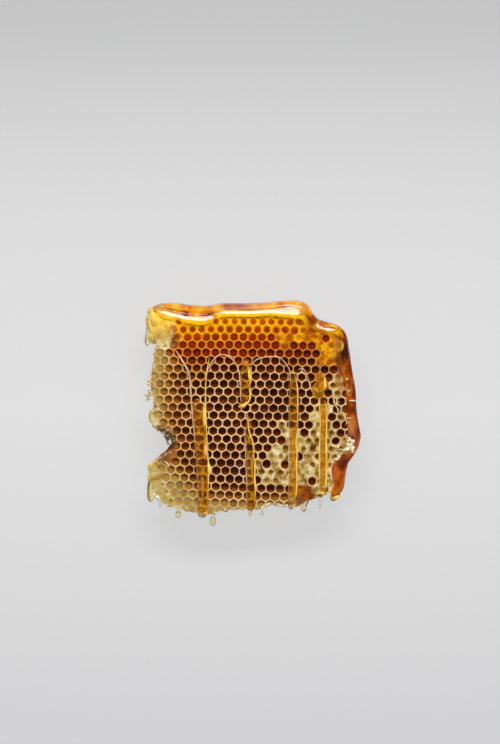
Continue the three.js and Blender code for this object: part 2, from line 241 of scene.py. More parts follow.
# The honey coat round the top and the right-hand side. At each stop: number of the outline's point, thickness
# on the side, width of its lip on the face, height of its crest, and where its shoulder starts and ends.
COAT_STOPS = [
    (0.5, 0.6, 1.6, 0.5, 0.2, 0.5), (0.8, 1.3, 3.4, 1.2, 0.4, 1.2), (1.1, 1.6, 4.6, 1.8, 0.6, 2.6),
    (1.6, 1.8, 6, 2.0, 1.4, 4.2), (2.5, 1.8, 7.2, 2.1, 2.5, 5.5), (3.0, 1.6, 7.8, 2.1, 3.0, 6.1),
    (3.6, 1.6, 8.0, 2.2, 3.1, 6.3), (4.0, 1.6, 7.2, 2.3, 2.2, 5.6), (4.35, 1.7, 6, 2.4, 0.4, 4.4),
    (4.6, 1.6, 4.6, 2.0, 2.0, 2.4), (4.85, 1.6, 4.4, 2.0, 1.0, 2.7), (5.3, 1.6, 4, 2.0, 0.3, 2.8),
    (6.4, 1.7, 4, 2.1, 0.1, 3.0), (6.75, 1.8, 5.8, 2.5, -0.4, 4.4), (7.5, 2.0, 6.6, 2.7, -1.2, 5.2),
    (7.9, 2.0, 6.2, 2.6, -0.8, 4.6), (8.3, 2.2, 5, 2.4, 1.2, 2.4), (9, 2.2, 4.4, 2.2, 1.2, 2.0),
    (10, 1.8, 4.4, 2.0, 0.9, 2.3), (10.5, 0.8, 4.8, 2.0, 0.8, 3.2), (11.2, 0.5, 5, 2.0, 1.4, 3.6),
    (12, 0.5, 4.4, 1.8, 0.8, 2.6), (12.6, 0.9, 3.4, 1.2, 0.6, 1.2), (13.2, 0.6, 3, 0.9, 0.3, 0.6),
    (14, 0.4, 2.6, 0.7, 0.3, 0.6), (14.8, 0.3, 1.6, 0.3, 0.1, 0.2),
]
# The same for the older, darker honey down the right-hand side.
SIDE_STOPS = [
    (13, 0.3, 0.5, 0.2, 0.1, 0.3), (13.5, 0.5, 1.0, 0.4, 0.2, 0.6), (14, 0.5, 1.2, 0.5, 0.3, 0.7),
    (15, 0.8, 1.8, 0.8, 0.4, 1.1), (15.6, 0.9, 2.4, 1.0, 0.4, 1.2), (16.1, 1.0, 0.8, 0.4, 0.2, 0.5),
    (17, 1.0, 0.6, 0.4, 0.1, 0.3), (18, 1.0, 0.7, 0.4, 0.1, 0.3), (19, 1.3, 0.8, 0.5, 0.2, 0.5),
    (19.6, 1.3, 0.6, 0.4, 0.1, 0.3), (20, 1.0, 0.5, 0.3, 0.1, 0.2), (20.4, 2.6, 0.6, 0.5, 0.2, 0.4),
    (21, 4.6, 0.8, 0.8, 0.3, 0.6), (22, 3.9, 1.0, 1.0, 0.3, 0.7), (23, 3.7, 1.0, 1.1, 0.3, 0.7),
    (24, 3.6, 1.0, 1.1, 0.2, 0.6), (24.4, 3.4, 0.9, 1.0, 0.1, 0.4), (24.7, 2.0, 0.7, 0.7, 0.1, 0.3),
]
# The runs of honey down the face, with x, y, height above the back, width and thickness at each stop.
RUNS = [
    [(-34, 5, 25.8, 2.4, 1.2), (-33, 0, 26.1, 6, 2.2), (-31.6, -10, 26.3, 7.2, 2.8),
     (-31.2, -20, 26.3, 7.2, 2.8), (-30.6, -34, 26.3, 7, 2.9), (-30.2, -46, 26.3, 6.6, 3),
     (-30.2, -57, 26.1, 6, 3.2), (-30.5, -61, 24, 5.6, 3.2), (-30.6, -63.4, 19, 5, 3),
     (-30.6, -64.7, 12, 3.6, 2.4), (-30.6, -65.3, 7, 2, 1.6)],
    [(-5, 27, 25.9, 3, 1.4), (-5, 20, 26.1, 5.6, 2.2), (-5, 10, 26.2, 6, 2.4), (-5.4, 4, 26.1, 5, 2.2),
     (-7, 0.5, 26, 2.6, 1.4)],
    [(-3.6, -6, 25.9, 2, 1.2), (-3.4, -14, 26.1, 3.6, 1.8), (-2.6, -24, 26.1, 4, 2),
     (-2.2, -36, 26.2, 4.4, 2.4), (-2.1, -56, 26.2, 4.6, 2.4), (-2.3, -60.5, 23, 3.4, 2.4),
     (-2.5, -63, 16, 2.4, 2), (-2.6, -64.4, 9, 1.8, 1.6)],
    [(22, 20, 25.9, 2.6, 1.4), (22.6, 12, 26.1, 4.9, 2), (22.5, -8, 26.2, 4.9, 2.2),
     (22.6, -32, 26.2, 4.9, 2.4), (22.3, -50, 26.2, 5, 2.6), (22, -55.5, 25, 4.6, 2.6),
     (21.7, -58.5, 20, 3.6, 2.4), (21.6, -60, 13, 2.4, 1.8)],
    [(38.8, 18, 25.9, 2.5, 1.2), (38.4, 14, 26.2, 6.5, 2.4), (37.4, 10.5, 26.4, 8, 3.2),
     (36.8, 7.5, 26.4, 6, 2.8), (36.6, 5.8, 26.2, 2.6, 1.6)],
    [(40.3, 6, 25.9, 2.6, 1.2), (40, 0, 26.1, 3.7, 1.8), (40, -16, 26.2, 3.7, 2), (39.8, -34, 26.2, 3.8, 2.2),
     (39.6, -46, 26.1, 3.5, 2.2), (39.2, -49.5, 24, 2.7, 2.2), (38.9, -53.4, 20, 1.9, 1.8),
     (38.7, -56.4, 15, 1.6, 1.5), (38.7, -59.6, 10, 1.6, 1.5)],
]
DRAWN_OUT = 0.8  # how the cells under a run are drawn out across it: as a power, 1 for not at all
# The comb's side, from the back up: height, share of the back's reach, and a step out from that.
SIDE = [
    (-1, 1, -0.8), (0, 1, -0.8), (1.2, 1, 0), (5, 1, 0), (9, 1, 0), (13, 1, 0), (17, 0.67, 0), (21, 0.35, 0),
    (25.2, 0, 0), (27.5, 0, -0.3),
]
# How far the torn side strays, in millimetres, over long and over short waves.
RAGGED, FINELY_RAGGED = 0.55, 0.275
RAGGED_WAVE, FINE_WAVE = 3.5 * MM, 1.1 * MM
# Patches of capped cells and of brim-full cells, as corners, and the cells that stay open in them.
CAPPED_PATCHES = [
    [(12.5, -6.5), (15.5, -12), (18, -19), (15, -22), (7, -26), (9, -29.5), (-1, -30), (-0.5, -35),
     (1.5, -36), (3.5, -43.5), (22, -44.2), (25, -54), (43, -48), (45, -28), (52, -20), (53, -14), (46, -12),
     (43, 0), (37, 3), (33, -2.5), (33, -12), (18.5, -12), (18, -7)],
    [(44.5, 18.5), (52, 18.5), (52.5, 12), (50, 5.5), (45.5, 6), (44, 12)],
    [(48, -1), (53, -1), (54, -8), (49, -8)],
    [(45, -28), (48, -20), (53, -15.5), (60, -19), (60, -27), (50, -32), (49, -52), (43, -52)],
]
OPEN_IN_CAPPED = [(2, 6), (2, 9), (4, 3), (7, 4), (8, 3), (8, 2), (0, 7), (-2, 7)]
FULL_PATCHES = [
    [(12, 43.1), (12, 38.4), (14.6, 38.4), (14.6, 33.8), (38.5, 33.8), (38.5, 29.1), (35, 29.1), (35, 24.4),
     (56, 24.4), (57, 45), (44.4, 49), (25.1, 52), (25.1, 43.1)],
    [(37.6, 18), (43, 18), (43, 5), (33, 5), (33, 8.5), (37.6, 8.5)],
]
OPEN_IN_FULL = [(8, -3), (8, -8), (9, -8), (10, -8), (10, -7), (12, -9)]
# Smooth pale wax with no cells to be seen: a clump at the top left, the left margin and the lower left.
SMOOTH_PATCHES = [
    [(-66, 58), (-54, 58), (-47.5, 53), (-47, 44), (-46.5, 37), (-54, 33.5), (-64, 34)],
    [(-68, 36), (-57, 36), (-58.3, 22), (-58.8, 8), (-57, 0), (-55.5, -8), (-54, -15), (-68, -20)],
    [(-68, -30), (-56.5, -30), (-54.5, -38), (-53, -44), (-51.5, -50), (-47, -55), (-40, -59), (-50, -66),
     (-68, -66)],
]
# Patches along the left and the lower left edge where the cells are full of pale wax and honey.
PALE_PATCHES = [
    [(-68, 40), (-52, 36), (-53.5, 26), (-54.5, 16), (-55, 4), (-56, -8), (-53, -15), (-68, -15)],
    [(-66, -31), (-53, -31), (-49, -38), (-43, -44.5), (-37, -50.5), (-31, -56), (0, -59), (24, -58),
     (26, -68), (-33.5, -72), (-66, -62)],
]
# Patches where the wax is soaked through: middle, and half their width and height.
SOAKED_SPOTS = [(27, -51.5, 8, 6.5), (-50.5, -26, 5.4, 7.5), (51.5, 26, 4.4, 8), (-46, 39.5, 2.6, 3.4)]
# A patch where a pale painted sheen lies on the wet rims: middle, and half its width and height.
PAINTED_SHEEN_SPOT = (-9, -36, 4.5, 7)
# Spots below the coat where the wax is brown.
BROWN_SPOTS = [(-12, 60, 18, 2.6), (38.5, 51.5, 7, 2)]


def smooth_line(points, steps):
    """A closed Catmull-Rom line through the points."""
    p = np.array(points, float)
    before, after, beyond = np.roll(p, 1, 0), np.roll(p, -1, 0), np.roll(p, -2, 0)
    parts = []
    for t in np.arange(steps) / steps:
        parts.append(0.5 * (2 * p + (after - before) * t + (2 * before - 5 * p + 4 * after - beyond) * t ** 2
                            + (3 * p - before - 3 * after + beyond) * t ** 3))
    return np.stack(parts, 1).reshape(-1, p.shape[1])


def open_line(points, steps):
    """A Catmull-Rom line through the points, open at its ends."""
    p = np.array(points, float)
    p = np.vstack([2 * p[0] - p[1], p, 2 * p[-1] - p[-2]])
    parts = []
    for k in range(1, len(p) - 2):
        for t in np.arange(steps) / steps:
            a, b, c, d = p[k - 1:k + 3]
            parts.append(0.5 * (2 * b + (c - a) * t + (2 * a - 5 * b + 4 * c - d) * t ** 2
                                + (3 * b - a - 3 * c + d) * t ** 3))
    parts.append(p[-2])
    return np.array(parts)


outline = smooth_line(OUTLINE, STEPS_PER_POINT) * MM
outline[:, :2] += DRAWN_ROUND


def depth_inside(points, line):
    """Distance from each point to a closed line, positive inside it."""
    corners = line[:, :2]
    sides = np.roll(corners, -1, 0) - corners
    nearest = np.full(len(points), np.inf)
    inside = np.zeros(len(points), bool)
    for start, along in zip(corners, sides):
        off = points - start
        share = np.clip(off @ along / max(along @ along, 1e-18), 0, 1)
        nearest = np.minimum(nearest, np.linalg.norm(off - share[:, None] * along, axis=1))
        crosses = (start[1] > points[:, 1]) != (start[1] + along[1] > points[:, 1])
        with np.errstate(divide="ignore", invalid="ignore"):
            at = start[0] + (points[:, 1] - start[1]) / along[1] * along[0]
        inside ^= crosses & (points[:, 0] < at)
    return np.where(inside, nearest, -nearest)


def from_first_cell(points):
    """Flat places in millimetres from the middle of the first cell."""
    return (points[:, :2] - DRAWN_ROUND) / MM


def depth_in_patches(points, patches):
    """How deep points lie in the deepest of some patches, in millimetres."""
    depths = [depth_inside(points[:, :2], np.array(patch) * MM + DRAWN_ROUND) for patch in patches]
    return np.max(depths, axis=0) / MM


def apart_from(points, spot):
    """How far points lie from the middle of an oval spot: 1 on its edge."""
    middle_x, middle_y, half_wide, half_high = spot
    apart = from_first_cell(points) - (middle_x, middle_y)
    return np.hypot(apart[:, 0] / half_wide, apart[:, 1] / half_high)


def stations_of(stops):
    """Numbers of the outline's steps along a coat, and the coat's sizes at each."""
    steps = np.arange(int(stops[0][0] * STEPS_PER_POINT), int(stops[-1][0] * STEPS_PER_POINT) + 1)
    sizes = [np.interp(steps / STEPS_PER_POINT, [stop[0] for stop in stops], [stop[k] for stop in stops])
             for k in range(1, 6)]
    return steps, np.array(sizes).T * MM


def under_coat(points, stops=COAT_STOPS):
    """How far points lie inside a coat's lip, in metres."""
    deep = np.full(len(points), -np.inf)
    steps, coat_sizes = stations_of(stops)
    for at, sizes in zip(outline[steps, :2], coat_sizes):
        deep = np.maximum(deep, sizes[1] - np.linalg.norm(points - at, axis=1))
    return deep


def under_run(points, runs=RUNS):
    """How far points lie inside the runs, as shares of half a run's width: 1 in its middle, 0 at its side."""
    deep = np.full(len(points), -np.inf)
    for stops in runs:
        for (x0, y0, _, wide0, _), (x1, y1, _, wide1, _) in zip(stops, stops[1:]):
            start = np.array([x0, y0]) * MM + DRAWN_ROUND
            along = np.array([x1 - x0, y1 - y0]) * MM
            share = np.clip((points - start) @ along / (along @ along), 0, 1)
            apart = np.linalg.norm(points - start - share[:, None] * along, axis=1)
            deep = np.maximum(deep, 1 - apart / ((wide0 + (wide1 - wide0) * share) * MM / 2))
    return deep


def widened_under_runs(points):
    """New x of points: under each run the cells are drawn out across it, as they look through its honey."""
    x = points[:, 0].copy()
    for stops in RUNS:
        line = open_line(stops, 4)[::-1] * MM
        middle = np.interp(points[:, 1] - DRAWN_ROUND[1], line[:, 1], line[:, 0]) + DRAWN_ROUND[0]
        half = np.interp(points[:, 1] - DRAWN_ROUND[1], line[:, 1], line[:, 3], left=1e-9, right=1e-9) / 2
        share = (points[:, 0] - middle) / np.maximum(half, 1e-9)
        inside = np.abs(share) < 1
        x[inside] = (middle + half * np.sign(share) * np.abs(share) ** DRAWN_OUT)[inside]
    return x


# How far the rows of cells stray from an even lattice, to the right and up, as amounts of strayed's terms.
STRAY = [
    (0.38, -0.38), (0.51, 0.34), (0.41, 0.29), (-0.32, -0.14), (0.43, 0.76), (-0.15, -0.71), (-0.57, 0.77),
    (-0.38, -0.71), (0.59, -0.49), (0.01, 0.23),
]
STRAY_REACH = 60 * MM  # the terms stay as they are beyond this far out


def strayed(points):
    """How far the cells at these points stand from their places on an even lattice."""
    u, v = ((points - DRAWN_ROUND) / STRAY_REACH).clip(-1, 1).T
    terms = [np.ones(len(u)), u, v, u * u, u * v, v * v, u ** 3, u * u * v, u * v * v, v ** 3]
    return np.column_stack(terms) @ np.array(STRAY) * MM


def cells_of(points):
    """The column and row of the cell that each point lies in."""
    even = points - strayed(points) - DRAWN_ROUND
    axial = np.linalg.solve(np.array([ALONG_ROW, DOWN_ROW]).T, even.T).T
    cube = np.column_stack([axial, -axial.sum(1)])
    near = np.round(cube)
    worst = np.abs(near - cube).argmax(1)
    rows = np.arange(len(near))
    near[rows, worst] -= near.sum(1)
    return near[:, :2].astype(int)


def middle_of(cells):
    """The middles of cells given by column and row."""
    even = DRAWN_ROUND + cells[:, :1] * ALONG_ROW + cells[:, 1:] * DOWN_ROW
    return even + strayed(even)


def rough(points, wavelength, seed):
    """Smooth noise from -1 to 1 at points of two or three coordinates."""
    shift = Vector((seed * 17.3, seed * 5.1, seed * 9.7))
    flat = points.shape[1] == 2
    return np.array([noise.noise(Vector((*p, 0) if flat else p) / wavelength + shift) for p in points])


def relief(points, waves):
    """Several layers of flat noise as one. Each is its wavelength in millimetres, its height and its seed."""
    return sum(height * rough(points[:, :2], wavelength * MM, seed) for wavelength, height, seed in waves)


def draw(cells, seed):
    """A number from 0 to 1 for each cell, always the same for one cell and seed."""
    mixed_up = np.sin(cells[:, 0] * 12.9898 + cells[:, 1] * 78.233 + seed * 37.719) * 43758.5453
    return mixed_up - np.floor(mixed_up)


def among(cells, chosen):
    """Which cells are in a list of cells."""
    wanted = set(chosen)
    return np.array([tuple(cell) in wanted for cell in cells.tolist()])


def ramp_up(values, low, high):
    """0 at low and beyond it, 1 at high and beyond it, smooth between."""
    share = np.clip((values - low) / (high - low), 0, 1)
    return share * share * (3 - 2 * share)


HONEY_SLANT = 0.06  # the level of the honey in the cells rises this much to the right
EMPTIEST, FULLEST = 14, 54  # heights on the face between which the cells stand fuller and fuller
PALE_FROM, PALE_TO = -13, 4.5  # how deep in a pale patch the cells start to turn pale, and are all pale


def honey_in_cells(points):
    """How full of honey the open cells stand: 1 along the top edge, 0 from the middle down."""
    x, y = from_first_cell(points).T
    return ramp_up(y - HONEY_SLANT * x, EMPTIEST, FULLEST)


def paleness(points):
    """How pale and full of wax the cells stand along the left and the lower left edge, 0 to 1."""
    return ramp_up(depth_in_patches(points, PALE_PATCHES) + relief(points, [(6, 2, 14)]), PALE_FROM, PALE_TO)


OPEN, FULL, CAPPED, TORN = range(4)
COVERED = 0.8 * MM  # how far inside the coat's lip the cells are full
BESIDE_LIP = -1.5 * MM  # how far outside it the torn cells are full too
TORN_EDGE = 2.4 * MM  # how near the outline the cells are torn
BACK_WAVES = [(26, 1, 4), (7, 0.35, 5)]
BACK_CAPPED = -0.12  # the back's cells are capped where its waves stand higher than this


def kinds_of(cells, back=False):
    """How each cell is finished."""
    middles = middle_of(cells)
    kinds = np.full(len(cells), OPEN)
    if back:
        kinds[relief(middles, BACK_WAVES) > BACK_CAPPED] = CAPPED
    else:
        kinds[(depth_in_patches(middles, FULL_PATCHES) > 0) & ~among(cells, OPEN_IN_FULL)] = FULL
        kinds[(depth_in_patches(middles, CAPPED_PATCHES) > 0) & ~among(cells, OPEN_IN_CAPPED)] = CAPPED
        kinds[depth_in_patches(middles, SMOOTH_PATCHES) > 0] = CAPPED
    kinds[(depth_inside(middles, outline) < TORN_EDGE) & (kinds != CAPPED)] = TORN
    if not back:
        for spot in SOAKED_SPOTS:
            kinds[apart_from(middles, spot) < 1] = FULL
        lip = under_coat(middles)
        kinds[(lip > COVERED) | ((kinds == TORN) & (lip > BESIDE_LIP))] = FULL
    return kinds


def set_values(mesh, name, values):
    """Keeps a number for each of a mesh's points."""
    attribute = mesh.attributes.get(name) or mesh.attributes.new(name, "FLOAT", "POINT")
    attribute.data.foreach_set("value", np.asarray(values, np.float32))


def get_points(mesh):
    """A mesh's points as an array."""
    flat = np.zeros(len(mesh.vertices) * 3, np.float32)
    mesh.vertices.foreach_get("co", flat)
    return flat.reshape(-1, 3).astype(float)


def set_points(mesh, points):
    """Moves a mesh's points."""
    mesh.vertices.foreach_set("co", points.astype(np.float32).ravel())
    mesh.update()


def apply_modifiers(thing):
    """Applies all of an object's modifiers in turn."""
    select_only(thing)
    for modifier in list(thing.modifiers):
        bpy.ops.object.modifier_apply(modifier=modifier.name)


def array_of(thing, offset, count):
    """Repeats an object and merges where the copies meet."""
    modifier = thing.modifiers.new("row", "ARRAY")
    modifier.use_relative_offset = False
    modifier.use_constant_offset = True
    modifier.constant_offset_displace = (*offset, 0)
    modifier.count = count
    modifier.use_merge_vertices = True
    modifier.merge_threshold = SAME_PLACE


def edit(thing, elements="VERT", chosen="SELECT"):
    """Opens a mesh in edit mode with all or none of it selected."""
    select_only(thing)
    bpy.ops.object.mode_set(mode="EDIT")
    bpy.ops.mesh.select_mode(type=elements)
    bpy.ops.mesh.select_all(action=chosen)


def open_cell_field(name):
    """Open cells over the whole lattice as one sheet, with the number of each point's ring kept on it."""
    middle = (*(DRAWN_ROUND - COLUMNS_EACH_WAY * ALONG_ROW - ROWS_EACH_WAY * DOWN_ROW), FACE_HEIGHT)
    bpy.ops.object.select_all(action="DESELECT")
    bpy.ops.mesh.primitive_circle_add(vertices=6, radius=CELL_CORNER, fill_type="NOTHING", location=middle,
                                      rotation=(0, 0, ROW_TURN))
    field = bpy.context.object
    field.name = name
    bpy.ops.object.transform_apply()
    edit(field, "EDGE")
    bpy.ops.mesh.subdivide(number_cuts=1)
    for ring in range(1, len(OPEN_SHARES)):
        drop = (OPEN_DEPTHS[ring] - OPEN_DEPTHS[ring - 1]) * MM
        bpy.ops.mesh.extrude_region_move(TRANSFORM_OT_translate={"value": (0, 0, -drop)})
        if OPEN_SHARES[ring] > 0:
            scale = OPEN_SHARES[ring] / OPEN_SHARES[ring - 1]
            bpy.ops.transform.resize(value=(scale, scale, 1), center_override=middle)
            bpy.ops.transform.tosphere(value=ROUNDING if ring == ROUNDED_RING else 0)
        else:
            bpy.ops.mesh.merge(type="CENTER")
    bpy.ops.mesh.select_all(action="SELECT")
    bpy.ops.mesh.normals_make_consistent(inside=False)
    bpy.ops.object.mode_set(mode="OBJECT")
    depths = (FACE_HEIGHT - get_points(field.data)[:, 2]) / MM
    set_values(field.data, "ring", np.interp(depths, OPEN_DEPTHS, range(len(OPEN_DEPTHS))))
    array_of(field, ALONG_ROW, 2 * COLUMNS_EACH_WAY + 1)
    array_of(field, DOWN_ROW, 2 * ROWS_EACH_WAY + 1)
    apply_modifiers(field)
    edit(field)
    bpy.ops.mesh.remove_doubles(threshold=SAME_PLACE)
    bpy.ops.object.mode_set(mode="OBJECT")
    return field


def keep_faces(thing, keep):
    """Deletes the faces that aren't to be kept."""
    edit(thing, "FACE", "DESELECT")
    bpy.ops.object.mode_set(mode="OBJECT")
    thing.data.polygons.foreach_set("select", ~keep)
    bpy.ops.object.mode_set(mode="EDIT")
    bpy.ops.mesh.delete(type="FACE")
    bpy.ops.object.mode_set(mode="OBJECT")


def face_middles(mesh):
    """The middles of a mesh's faces."""
    flat = np.zeros(len(mesh.polygons) * 3, np.float32)
    mesh.polygons.foreach_get("center", flat)
    return flat.reshape(-1, 3).astype(float)


# The comb's unevenness over its face, on smooth and capped wax, and sideways.
UNEVEN = [(8, 0.22, 1), (2.4, 0.12, 2)]
LUMPY = [(3.2, 0.5, 6), (1.2, 0.2, 7)]
SWAY = ([(9, 0.25, 8), (2.5, 0.2, 10)], [(9, 0.25, 9), (2.5, 0.2, 11)])
# How full the cells stand along the pale edges and under the first run.
PALE_FILL, RUN_FILL = 0.9, 0.6
# How deep the cells are, as a share of the drawn depth: the least, and how much more at most.
OPEN_DEPTH, TORN_DEPTH = (0.85, 0.35), (0.3, 0.7)
# How much the cells' width differs, how much honey narrows their mouths, and how much a run flattens them.
WIDTH_STRAYS, NARROWED, FLATTENED = 0.12, 0.06, 0.14
RUN_EDGE = 0.4  # how far inside a run the cells are fully seen through it
PIT_RINGS = (2.2, 4.5)  # where the pit in a capping starts and is deepest
CLUMP_EDGE = (-1, 1.5)  # how deep in a smooth patch the wax starts to be smooth, and is all smooth


def finish_cells(field, back):
    """Gives each cell of the field its own depth, capping and unevenness."""
    mesh = field.data
    points = get_points(mesh)
    flat = points[:, :2]
    ring = np.zeros(len(points), np.float32)
    mesh.attributes["ring"].data.foreach_get("value", ring)
    cells = cells_of(flat)
    kinds = kinds_of(cells, back)
    middles = middle_of(cells)
    shared = ring < 0.01  # points on the crest between cells belong to no one cell
    filled = beneath = clump = np.zeros(len(points))
    if not back:
        filled = np.maximum(honey_in_cells(points), PALE_FILL * paleness(points))
        filled = np.maximum(filled, RUN_FILL * ramp_up(under_run(flat, RUNS[:1]), 0, RUN_EDGE))
        beneath = ramp_up(under_run(flat), 0, RUN_EDGE) * ~shared
        clump = ramp_up(depth_in_patches(points, SMOOTH_PATCHES), *CLUMP_EDGE)

    depth = np.interp(ring, range(len(OPEN_DEPTHS)), OPEN_DEPTHS)
    deeper = np.where(kinds == TORN, TORN_DEPTH[0] + TORN_DEPTH[1] * draw(cells, 5),
                      OPEN_DEPTH[0] + OPEN_DEPTH[1] * draw(cells, 2))
    depth = np.where(depth > 1, depth * deeper * (1 - FILLED_SHARE * filled), depth)
    for kind, depths in ((CAPPED, CAP_DEPTHS), (FULL, FULL_DEPTHS)):
        these = kinds == kind
        depth[these] = np.interp(ring[these], range(len(depths)), depths)
    lumps = relief(points, LUMPY)
    pit = np.where(draw(cells, 4) > 0.5, draw(cells, 4) * ramp_up(ring, *PIT_RINGS), 0)
    capped = depth * (1 - clump) + (0.8 * lumps + 0.2) * clump + (lumps + pit) * (1 - clump)
    depth = np.where(kinds == CAPPED, capped, depth) + relief(points, UNEVEN)
    if back:
        depth = depth.clip(0)

    narrowed = NARROWED * filled * (1 - 2 * np.abs(ring / 3 - 1).clip(0, 0.5))
    width = 1 + np.where(kinds == OPEN, WIDTH_STRAYS * (draw(cells, 1) - 0.5) - narrowed, 0)
    now = np.interp(ring, range(len(OPEN_SHARES)), OPEN_SHARES)
    wanted = np.interp(ring, range(len(CAP_SHARES)), CAP_SHARES)
    filled_up = (kinds == CAPPED) | (kinds == FULL)
    width = np.where(filled_up & (now > 0), wanted / np.maximum(now, 1e-6), width)
    off = flat - middles
    off = np.where(shared[:, None], off, off * width[:, None])
    off[:, 1] *= 1 - FLATTENED * beneath
    sway = np.column_stack([relief(points, waves) for waves in SWAY])
    points[:, :2] = middles + off + sway * MM
    if not back:
        points[:, 0] = widened_under_runs(points)
    points[:, 2] = FACE_HEIGHT - depth * MM
    set_points(mesh, points)


def face_outwards(thing):
    """Turns a closed mesh's faces outwards."""
    edit(thing)
    bpy.ops.mesh.normals_make_consistent(inside=False)
    bpy.ops.object.mode_set(mode="OBJECT")
    checked = bmesh.new()
    checked.from_mesh(thing.data)
    inside_out = checked.calc_volume(signed=True) < 0
    checked.free()
    if inside_out:
        thing.data.flip_normals()


def close_below(field, height):
    """Draws the sheet's open edge down to a height and closes it there."""
    edit(field, "EDGE", "DESELECT")
    bpy.ops.mesh.select_non_manifold(extend=False, use_wire=False, use_boundary=True, use_multi_face=False,
                                     use_non_contiguous=False, use_verts=False)
    bpy.ops.mesh.extrude_region_move(TRANSFORM_OT_translate={"value": (0, 0, height - FACE_HEIGHT)})
    bpy.ops.transform.resize(value=(1, 1, 0), center_override=(0, 0, height))
    bpy.ops.mesh.edge_face_add()
    bpy.ops.object.mode_set(mode="OBJECT")
    face_outwards(field)


def swept(name, rings):
    """A closed body through rings of as many points each: a filled circle, extruded and laid on the rings."""
    rings = np.array(rings)
    levels, count = rings.shape[:2]
    bpy.ops.object.select_all(action="DESELECT")
    bpy.ops.mesh.primitive_circle_add(vertices=count, radius=1, fill_type="NGON")
    body = bpy.context.object
    body.name = name
    edit(body, "FACE")
    for _ in range(levels - 1):
        bpy.ops.mesh.extrude_region_move(TRANSFORM_OT_translate={"value": (0, 0, 1)})
    bpy.ops.object.mode_set(mode="OBJECT")
    points = get_points(body.data)
    level = np.round(points[:, 2]).astype(int)
    turn = np.arctan2(points[:, 0], points[:, 1]) / (2 * math.pi) % 1
    set_points(body.data, rings[level, np.round(turn * count).astype(int) % count])
    face_outwards(body)
    return body


def outward_ways(line):
    """The outward direction at each point of a closed line that runs clockwise."""
    along = np.roll(line[:, :2], -1, 0) - np.roll(line[:, :2], 1, 0)
    return np.column_stack([-along[:, 1], along[:, 0]]) / np.linalg.norm(along, axis=1)[:, None]


def torn_block(name):
    """A closed block with the comb's ragged outline, which the layers are cut to."""
    way = outward_ways(outline)
    rings = []
    for height, share, step in SIDE:
        place = outline[:, :2] + way * (outline[:, 2:] * share + step * MM)
        solid = np.column_stack([place, np.full(len(place), height * MM)])
        torn = RAGGED * (rough(solid, RAGGED_WAVE, 12) - 0.6) + FINELY_RAGGED * rough(solid, FINE_WAVE, 13)
        solid[:, :2] += way * (torn * MM)[:, None]
        rings.append(solid)
    return swept(name, rings)


def cut_to(thing, block):
    """Keeps what two closed meshes share."""
    modifier = thing.modifiers.new("torn", "BOOLEAN")
    modifier.operation = "INTERSECT"
    modifier.solver = "MANIFOLD"
    modifier.object = block
    apply_modifiers(thing)


MIDDLE_WALL = FACE_HEIGHT - COMB_THICK / 2
PAST_OUTLINE = 10 * MM  # how far past the outline the cells are kept until they are cut


def layer_of_cells(name, back):
    """One layer of cells, from the middle wall to the mouths."""
    field = open_cell_field(name)
    points = get_points(field.data)
    points[:, :2] += strayed(points[:, :2])
    set_points(field.data, points)
    middles = middle_of(cells_of(face_middles(field.data)[:, :2]))
    keep_faces(field, depth_inside(middles, outline) > -PAST_OUTLINE)
    finish_cells(field, back)
    close_below(field, MIDDLE_WALL)
    return field


block = torn_block("torn_block")
front = layer_of_cells("front_cells", back=False)
cut_to(front, block)
back = layer_of_cells("back_cells", back=True)
select_only(back)
bpy.ops.transform.resize(value=(1, 1, -1), center_override=(0, 0, MIDDLE_WALL))
bpy.ops.object.transform_apply()
face_outwards(back)
cut_to(back, block)
bpy.data.objects.remove(block)

# Where the film of honey on the face ends, from left to right. The rims above this line are wet.
FILM_EDGE = [
    (-66, 36), (-55, 34.5), (-48, 32), (-40, 20.5), (-37.5, 12), (-29, 12), (-28, 17), (-25.6, 24),
    (-18.6, 31), (-11.6, 26), (-8.7, 20.5), (-7, 12), (-4, 12), (-2.3, 20.5), (0, 27), (5.3, 29.5),
    (12.9, 29.5), (17.6, 26.8), (20, 21.5), (21, 12), (24.5, 12), (25.1, 20.4), (26.3, 22.7), (28.6, 22.1),
    (31, 18), (32.2, 12), (41, 12), (44.4, 20.4), (53, 20.4), (62, 15.7),
]
COAT_REACH = (4 * MM, 9 * MM)  # how near the coat the wax is fully soaked, and where that ends
SIDE_STARTS = 1.2  # the comb's side is what lies less than this inside its outline


def beside_coat(points):
    """1 at points beside the honey coat, 0 beyond its reach."""
    steps, _ = stations_of(COAT_STOPS)
    apart = np.min([np.linalg.norm(points - spot, axis=1) for spot in outline[steps, :2]], axis=0)
    return 1 - ramp_up(apart, *COAT_REACH)


def spots_on(points, spots, ragged):
    """1 inside some oval spots with ragged edges, 0 outside them."""
    shares = [ramp_up(1.25 - apart_from(points, spot) + 0.25 * ragged, 0, 0.5) for spot in spots]
    return np.max(shares, axis=0)


ONLY_ON_FACE = ("film", "height", "gold", "dim", "under", "thin", "lip", "run", "bar", "painted_sheen", "pale")


